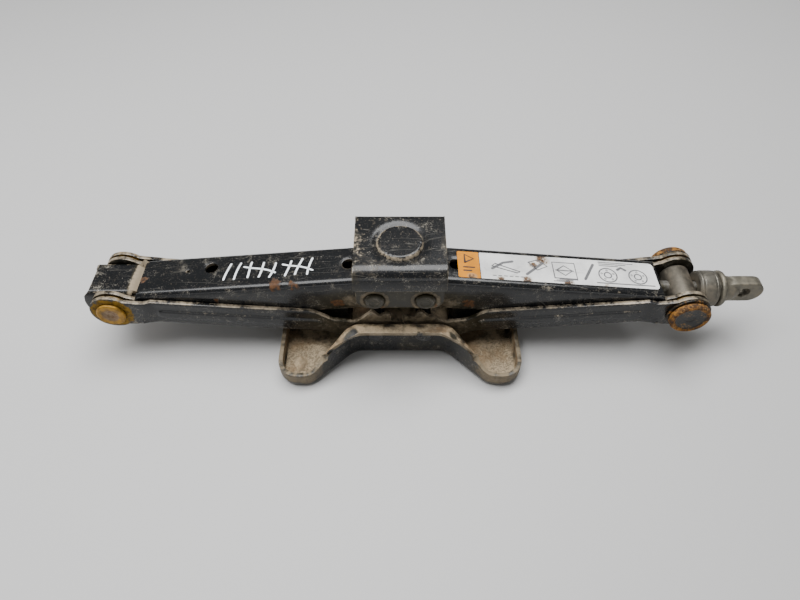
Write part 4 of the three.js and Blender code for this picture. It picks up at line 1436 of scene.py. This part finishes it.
def drive_eye():
    """The forged eye: a turned flange and neck that runs into a flat lug with a cross hole."""
    steel = look("eye_steel")
    round_part = lathe("eye_round", [
        (0, 195.6), (9, 195.6), (9, 198.2), (10.7, 198.4, 0.4), (11.5, 199.2, 0.5), (11.5, 200.6, 0.4),
        (11.0, 201.6, 0.5), (9.0, 202.2, 0.5), (8.2, 203.6, 1), (7.7, 207.5, 2), (4.5, 213, 2), (0, 214.5),
    ], "x", on_screw(), steel)
    tip = 228
    lug_loop = rounded([
        (203, -7.2), (209, -8, 3), (216, -8, 4), *arc(tip - 8, 0, 8, -78, 78, 26), (216, 8, 4), (209, 8, 3),
        (203, 7.2),
    ])
    hole = circle(tip - 12, 0, 3.7, 40)
    spots = grid(steps_between(204, tip - 1, 2), steps_between(-7, 7, 2))
    lug = bend_sheet("eye_lug", [lug_loop, hole], spots, lambda x, z: (x, 0, SCREW_Z + z), 7.6, steel)
    bpy.context.view_layer.update()
    with bpy.context.temp_override(active_object=round_part, selected_editable_objects=[round_part, lug]):
        bpy.ops.object.join()
    blend = round_part.modifiers.new("blend", "REMESH")
    blend.mode = "VOXEL"
    blend.voxel_size = 0.42 * MM
    ease = round_part.modifiers.new("ease", "SMOOTH")
    ease.factor = 0.6
    ease.iterations = 5
    make_plain(round_part, 60)
    round_part.name = "eye_forging"
    round_part.data.materials.clear()
    round_part.data.materials.append(steel)
    mount(round_part, "screw", "worn_steel", "drive_eye")
    pin = lathe("eye_cross_pin", [(0, -7.9), (1.5, -7.9, 0.4), (1.5, 7.9, 0.4), (0, 7.9)], "y",
                on_screw(203.7), look("greasy_steel"), steps=32)
    mount(pin, "screw", "greased_steel", "eye_roll_pin")


def screw_thread():
    """The thread: a trapezoid swept along a helix."""
    tree = Tree("lead_screw_thread")
    pitch = tree.size("Pitch", sizes().thread_pitch)
    depth = tree.size("Depth", sizes().thread_depth)
    outer = tree.size("Outer radius", SCREW_R * MM)
    start, end = THREAD_LEFT + 0.4, THREAD_RIGHT - 0.3
    run = tree.size("Threaded length", (end - start) * MM)
    core = tree.math("SUBTRACT", outer, depth)
    turns = tree.math("DIVIDE", run, pitch)
    helix = tree.node("GeometryNodeCurveSpiral", None, {
        "Resolution": 24, "Rotations": turns, "Start Radius": core, "End Radius": core, "Height": run,
    })
    upright = tree.node("GeometryNodeSetCurveNormal", {"mode": "Z_UP"}, {"Curve": helix})
    wide = tree.math("MULTIPLY", pitch, 0.62)
    narrow = tree.math("MULTIPLY", pitch, 0.34)
    tall = tree.math("MULTIPLY", depth, 2.0)
    tooth = tree.node("GeometryNodeCurvePrimitiveQuadrilateral", {"mode": "TRAPEZOID"}, {
        "Bottom Width": wide, "Top Width": narrow, "Height": tall, "Offset": 0.0,
    })
    turned = tree.node("GeometryNodeTransform", None, {"Geometry": tooth, "Rotation": (0, 0, -pi / 2)})
    thread = tree.node("GeometryNodeCurveToMesh", None, {
        "Curve": upright, "Profile Curve": turned, "Fill Caps": True,
    })
    laid = tree.node("GeometryNodeTransform", None, {
        "Geometry": thread, "Rotation": (0, pi / 2, 0), "Translation": on_screw(start) * MM,
    })
    tree.end(laid, look("greasy_steel"))
    thread_made = tree.make("screw_thread", None, 30)
    mount(thread_made, "screw", "greased_steel")


def lead_screw():
    """The turned core of the screw, and the stop on its left end."""
    core_r = SCREW_R - sizes().thread_depth / MM + 0.05
    bar = lathe("screw_core", [
        (0, SCREW_LEFT), (4, SCREW_LEFT, 0.6), (4, THREAD_LEFT), (core_r, THREAD_LEFT, 0.4),
        (core_r, THREAD_RIGHT), (JOURNAL_R, THREAD_RIGHT + 0.5), (JOURNAL_R, JOURNAL_END, 0.5),
        (0, JOURNAL_END),
    ], "x", on_screw(), look("greasy_steel"), steps=48)
    mount(bar, "screw", "greased_steel", "lead_screw")
    stop = washer("screw_end_stop", (4.1, 8), (-191, -187.3), 0.6, "x", on_screw(), look("greasy_steel"))
    mount(stop, "screw", "greased_steel", "screw_stop")


# ------------------------------------------------------------------ labels and marks
def on_web(side, lift):
    """Puts (along the arm, across it) on the top of an upper arm's web, a little above it."""
    spot = along_arm(SADDLE_PIN[side], END_PIN[side])
    top = UPPER.web + sizes().arm_sheet / MM / 2
    return lambda u, y: spot(u, top + lift, y)


# Height of each layer's middle above an arm's web, and the thickness of a label and a stroke.
FOIL_LIFT, INK_LIFT, MARKER_LIFT = 0.09, 0.21, 0.05
FOIL_THICK, STROKE_THICK = 0.14, 0.06
# Torn places on the labels: distance along the arm, distance across it, radius.
TEARS = (
    (60.9, -9.5, 4.5), (86, -9.5, 6), (72, 8, 7), (45, -10, 4), (27, -10, 5), (66, 3, 4), (110, -10, 3),
)


def foil(name, points, material, node, slot):
    """One label on the right arm's web."""
    loop = even_steps(rounded(points), 1.5)
    us, ys = zip(*loop)
    spots = grid(steps_between(min(us), max(us), 1.5), steps_between(min(ys), max(ys), 1.5))
    label = bend_sheet(name, [loop], spots, on_web("right", FOIL_LIFT), FOIL_THICK, look(material),
                       lambda u, y: (0, nearness(TEARS, u, y), 0), crisp=True)
    mount(label, "upper_right_arm", slot, node)


def round_end(end, way, width):
    """Points round the end of a stroke that runs out that way."""
    return [end + Matrix.Rotation(radians(a), 2) @ way * width / 2 for a in (-60, -30, 0, 30, 60)]


def strokes(name, side, lift, lines, material, slot):
    """Flat strokes with round ends, along lines of (points, width) on one upper arm's web."""
    put = on_web(side, lift)
    bm = bmesh.new()
    for points, width in lines:
        path = [Vector(p) for p in points]
        pairs = []
        for i, here in enumerate(path):
            run = (path[min(i + 1, len(path) - 1)] - path[max(i - 1, 0)]).normalized()
            out = Vector((-run.y, run.x)) * width / 2
            pairs.append((here + out, here - out))
        first = (path[0] - path[1]).normalized()
        last = (path[-1] - path[-2]).normalized()
        verts = [[bm.verts.new(put(*p)) for p in pair] for pair in pairs]
        for one, two in zip(verts, verts[1:]):
            bm.faces.new((one[0], one[1], two[1], two[0]))
        tip = [bm.verts.new(put(*p)) for p in round_end(path[-1], last, width)]
        bm.faces.new([verts[-1][0], verts[-1][1], *tip])
        tip = [bm.verts.new(put(*p)) for p in round_end(path[0], first, width)]
        bm.faces.new([verts[0][1], verts[0][0], *tip])
    bmesh.ops.recalc_face_normals(bm, faces=bm.faces)
    drawn = new_object(name, bm, [look(material)])
    thicken(drawn, STROKE_THICK, crisp=True)
    make_plain(drawn)
    mount(drawn, f"upper_{side}_arm", slot)


def pictograms():
    """Generic drawings: an arrow, a lever, a scissor jack, a wheel and its nuts."""
    thin, bold = 0.8, 1.7
    lines = []

    def ring(u, y, r, width=thin):
        lines.append((arc(u, y, r, 0, 360, 28), width))

    def line(width, *points):
        lines.append((list(points), width))

    line(bold, (40, -2), (47, 3.2), (53, 4.8))
    line(thin, (40, 0), (55, -4.5), (57, -3.5), (42, 2.2), (40, 0))
    line(bold, (61, -5), (72, 5))
    line(thin, (63, 5), (69, 7.5), (74.5, 2.5), (68, -1), (63, 5))
    line(thin, (78, -6.5), (92, -6.5), (92, 6.5), (78, 6.5), (78, -6.5))
    line(thin, (80, 0), (85, 4), (90, 0), (85, -4), (80, 0))
    line(thin, (79.5, 0), (90.5, 0))
    line(bold, (97, -6), (104, 6.5))
    for u in (112, 131):
        ring(u, -1.5, 5.6)
        ring(u, -1.5, 2.2)
        for k in range(5):
            a = radians(90 + 72 * k)
            ring(u + 3.9 * cos(a), -1.5 + 3.9 * sin(a), 0.5, 0.35)
    line(thin, (104, -8.2), (140, -8.2))
    for row in range(3):
        line(0.6, (108, 9 - row * 1.4), (130 - row * 5, 9 - row * 1.4))
        line(0.6, (77 + row * 2, -9 + row * 0.9), (86 + row * 3, -9 + row * 0.9))
    for dash in range(6):
        line(0.6, (40 + dash * 3.4, -7.6), (41.8 + dash * 3.4, -7.6))
    line(bold, (119, 3.5), (121.5, 5.3), (124, 3.5))
    strokes("label_drawings", "right", INK_LIFT, lines, "label_ink", "white_label")


def sign_drawing():
    """A plain triangle and two bars, turned to read from the side."""
    lines = [
        ([(23.5, 1.6), (23.5, 8.2), (28.9, 4.9), (23.5, 1.6)], 1.3),
        ([(22.6, -2.2), (29, -2.2)], 1.1),
        ([(22.6, -5), (27, -5)], 1.1),
    ]
    strokes("sign_drawing", "right", INK_LIFT, lines, "sign_ink", "orange_label")


def marker_strokes():
    """White paint-marker tally strokes on the left arm, drawn by hand."""
    lines = []
    starts = (40, 47, 53, 63, 70, 77, 85, 91)
    shares = (0, 0.2, 0.4, 0.6, 0.8, 1)
    for k, u in enumerate(starts):
        lean = 2.2 + 0.5 * sin(k * 2.3)
        wobble = 0.5 * sin(k * 1.7)
        path = [(u - lean * t + 0.5 * sin(3 * t + k), -6.5 + wobble + 13 * t * (0.92 + 0.06 * cos(k)))
                for t in shares]
        lines.append((path, 1.25))
    for low, high in ((37, 56), (60, 80)):
        path = [(low + (high - low) * t, -3.5 + 7 * t + 0.8 * sin(5 * t)) for t in shares]
        lines.append((path, 1.15))
    strokes("marker_tally", "left", MARKER_LIFT, lines, "marker_paint", "black_paint")


# ------------------------------------------------------------------ operators
class JackOperator(bpy.types.Operator):
    """Common parts of the jack's operators"""
    bl_options = {"REGISTER", "UNDO"}
    steps = ()

    def execute(self, context):
        for step in self.steps:
            step()
        return {"FINISHED"}


class JACK_OT_base(JackOperator):
    """Press the base tray and fill its feet with dirt"""
    bl_idname = "jack.base"
    bl_label = "Base"
    steps = (base_tray, settled_dirt, base_rivets)


class JACK_OT_arms(JackOperator):
    """Fold the four channel arms"""
    bl_idname = "jack.arms"
    bl_label = "Arms"
    steps = (arms,)


class JACK_OT_saddle(JackOperator):
    """Make the saddle cap, its cheeks, rivets and bushes"""
    bl_idname = "jack.saddle"
    bl_label = "Saddle"
    steps = (saddle_cap, saddle_cheeks, saddle_rivets)


class JACK_OT_nut_end(JackOperator):
    """Make the nut, its housing and rivet at the left end"""
    bl_idname = "jack.nut_end"
    bl_label = "Nut End"
    steps = (nut_housing, nut_rivet, nut_block, pivot_washers)


class JACK_OT_bearing_end(JackOperator):
    """Make the bearing bar, cup, races and balls at the right end"""
    bl_idname = "jack.bearing_end"
    bl_label = "Bearing End"
    steps = (bearing_bar, bearing_rivet, head_washers, bearing_cup, thrust_races, ball_ring)


class JACK_OT_screw(JackOperator):
    """Cut the lead screw's thread and forge the drive eye"""
    bl_idname = "jack.screw"
    bl_label = "Screw and Eye"
    steps = (screw_thread, lead_screw, drive_eye)


def labels():
    half = 10.6
    start, end = 32.7, ARM_LENGTH - 18.7
    white = [(start, -half, 0.5), (end, -half, 2.6), (end, half, 2.6), (start, half, 0.5)]
    foil("instruction_foil", white, "white_foil", "instruction_label", "white_label")
    start, end = 19, 32.3
    orange = [(start, -half, 1), (end, -half, 0.5), (end, half, 0.5), (start, half, 1)]
    foil("sign_foil", orange, "orange_foil", "warning_label", "orange_label")


class JACK_OT_labels(JackOperator):
    """Stick on the labels and draw their plain pictures"""
    bl_idname = "jack.labels"
    bl_label = "Labels"
    steps = (labels, pictograms, sign_drawing, marker_strokes)


# Lights: place, the point they face, size and power, in metres and watts.
LIGHTS = {
    "soft_overhead": ((-0.1, 0.16, 1.0), (0, 0, 0), (1.3, 0.6), 27),
    "soft_front": ((0.1, -1.1, 0.3), (0, 0, 0.03), (1.7, 0.4), 3.5),
    "soft_left": ((-0.9, 0.1, 0.5), (0, 0, 0.03), (0.5, 0.8), 3),
}
SKY, SKY_STRENGTH = (1.0, 0.985, 0.95, 1), 0.2
CAMERA_PLACE, CAMERA_TILT, CAMERA_LENS = (0, -0.248, 0.324), 39.7, 27


def area_light(name, place, aim, size, power):
    data = bpy.data.lights.new(name, "AREA")
    data.shape = "RECTANGLE"
    data.size, data.size_y = size
    data.energy = power
    light = bpy.data.objects.new(name, data)
    light.location = place
    light.rotation_euler = (Vector(aim) - Vector(place)).to_track_quat("-Z", "Y").to_euler()
    bpy.context.scene.collection.objects.link(light)


def studio():
    bm = bmesh.new()
    corners = [(-2500, -1800, 0), (2500, -1800, 0), (2500, 3000, 0), (-2500, 3000, 0)]
    bm.faces.new([bm.verts.new(p) for p in corners])
    floor = new_object("studio_floor", bm, [look("studio_floor")])
    for name, values in LIGHTS.items():
        area_light(name, *values)
    world = bpy.data.worlds.new("studio_world")
    world.use_nodes = True
    background = world.node_tree.nodes["Background"].inputs
    background["Color"].default_value = SKY
    background["Strength"].default_value = SKY_STRENGTH
    bpy.context.scene.world = world


def camera():
    """Looks down at the jack from in front, at about 50 degrees."""
    data = bpy.data.cameras.new("camera")
    data.sensor_width = 36
    data.lens = CAMERA_LENS
    view = bpy.data.objects.new("camera", data)
    view.location = CAMERA_PLACE
    view.rotation_euler = (radians(CAMERA_TILT), 0, 0)
    bpy.context.scene.collection.objects.link(view)
    bpy.context.scene.camera = view


class JACK_OT_stage(JackOperator):
    """Set the floor, the lights and the camera"""
    bl_idname = "jack.stage"
    bl_label = "Stage"
    steps = (studio, camera)


OPERATORS = (
    JACK_OT_stage, JACK_OT_base, JACK_OT_arms, JACK_OT_saddle, JACK_OT_nut_end, JACK_OT_bearing_end,
    JACK_OT_screw, JACK_OT_labels,
)


class JACK_PT_panel(bpy.types.Panel):
    """Lists the jack's operators"""
    bl_idname = "JACK_PT_panel"
    bl_label = "Scissor Jack"
    bl_space_type = "VIEW_3D"
    bl_region_type = "UI"
    bl_category = "Jack"

    def draw(self, context):
        for operator in OPERATORS:
            self.layout.operator(operator.bl_idname)
        for group in (context.scene.jack_sizes, context.scene.jack_colours):
            for key in group.__annotations__:
                self.layout.prop(group, key)


CLASSES = (JackSizes, JackColours, *OPERATORS, JACK_PT_panel)


def register():
    for cls in CLASSES:
        bpy.utils.register_class(cls)
    bpy.types.Scene.jack_sizes = PointerProperty(type=JackSizes)
    bpy.types.Scene.jack_colours = PointerProperty(type=JackColours)


def unregister():
    del bpy.types.Scene.jack_colours
    del bpy.types.Scene.jack_sizes
    for cls in reversed(CLASSES):
        bpy.utils.unregister_class(cls)


def main():
    register()
    for operator in OPERATORS:
        group, name = operator.bl_idname.split(".")
        getattr(getattr(bpy.ops, group), name)()


if __name__ == "__main__":
    main()
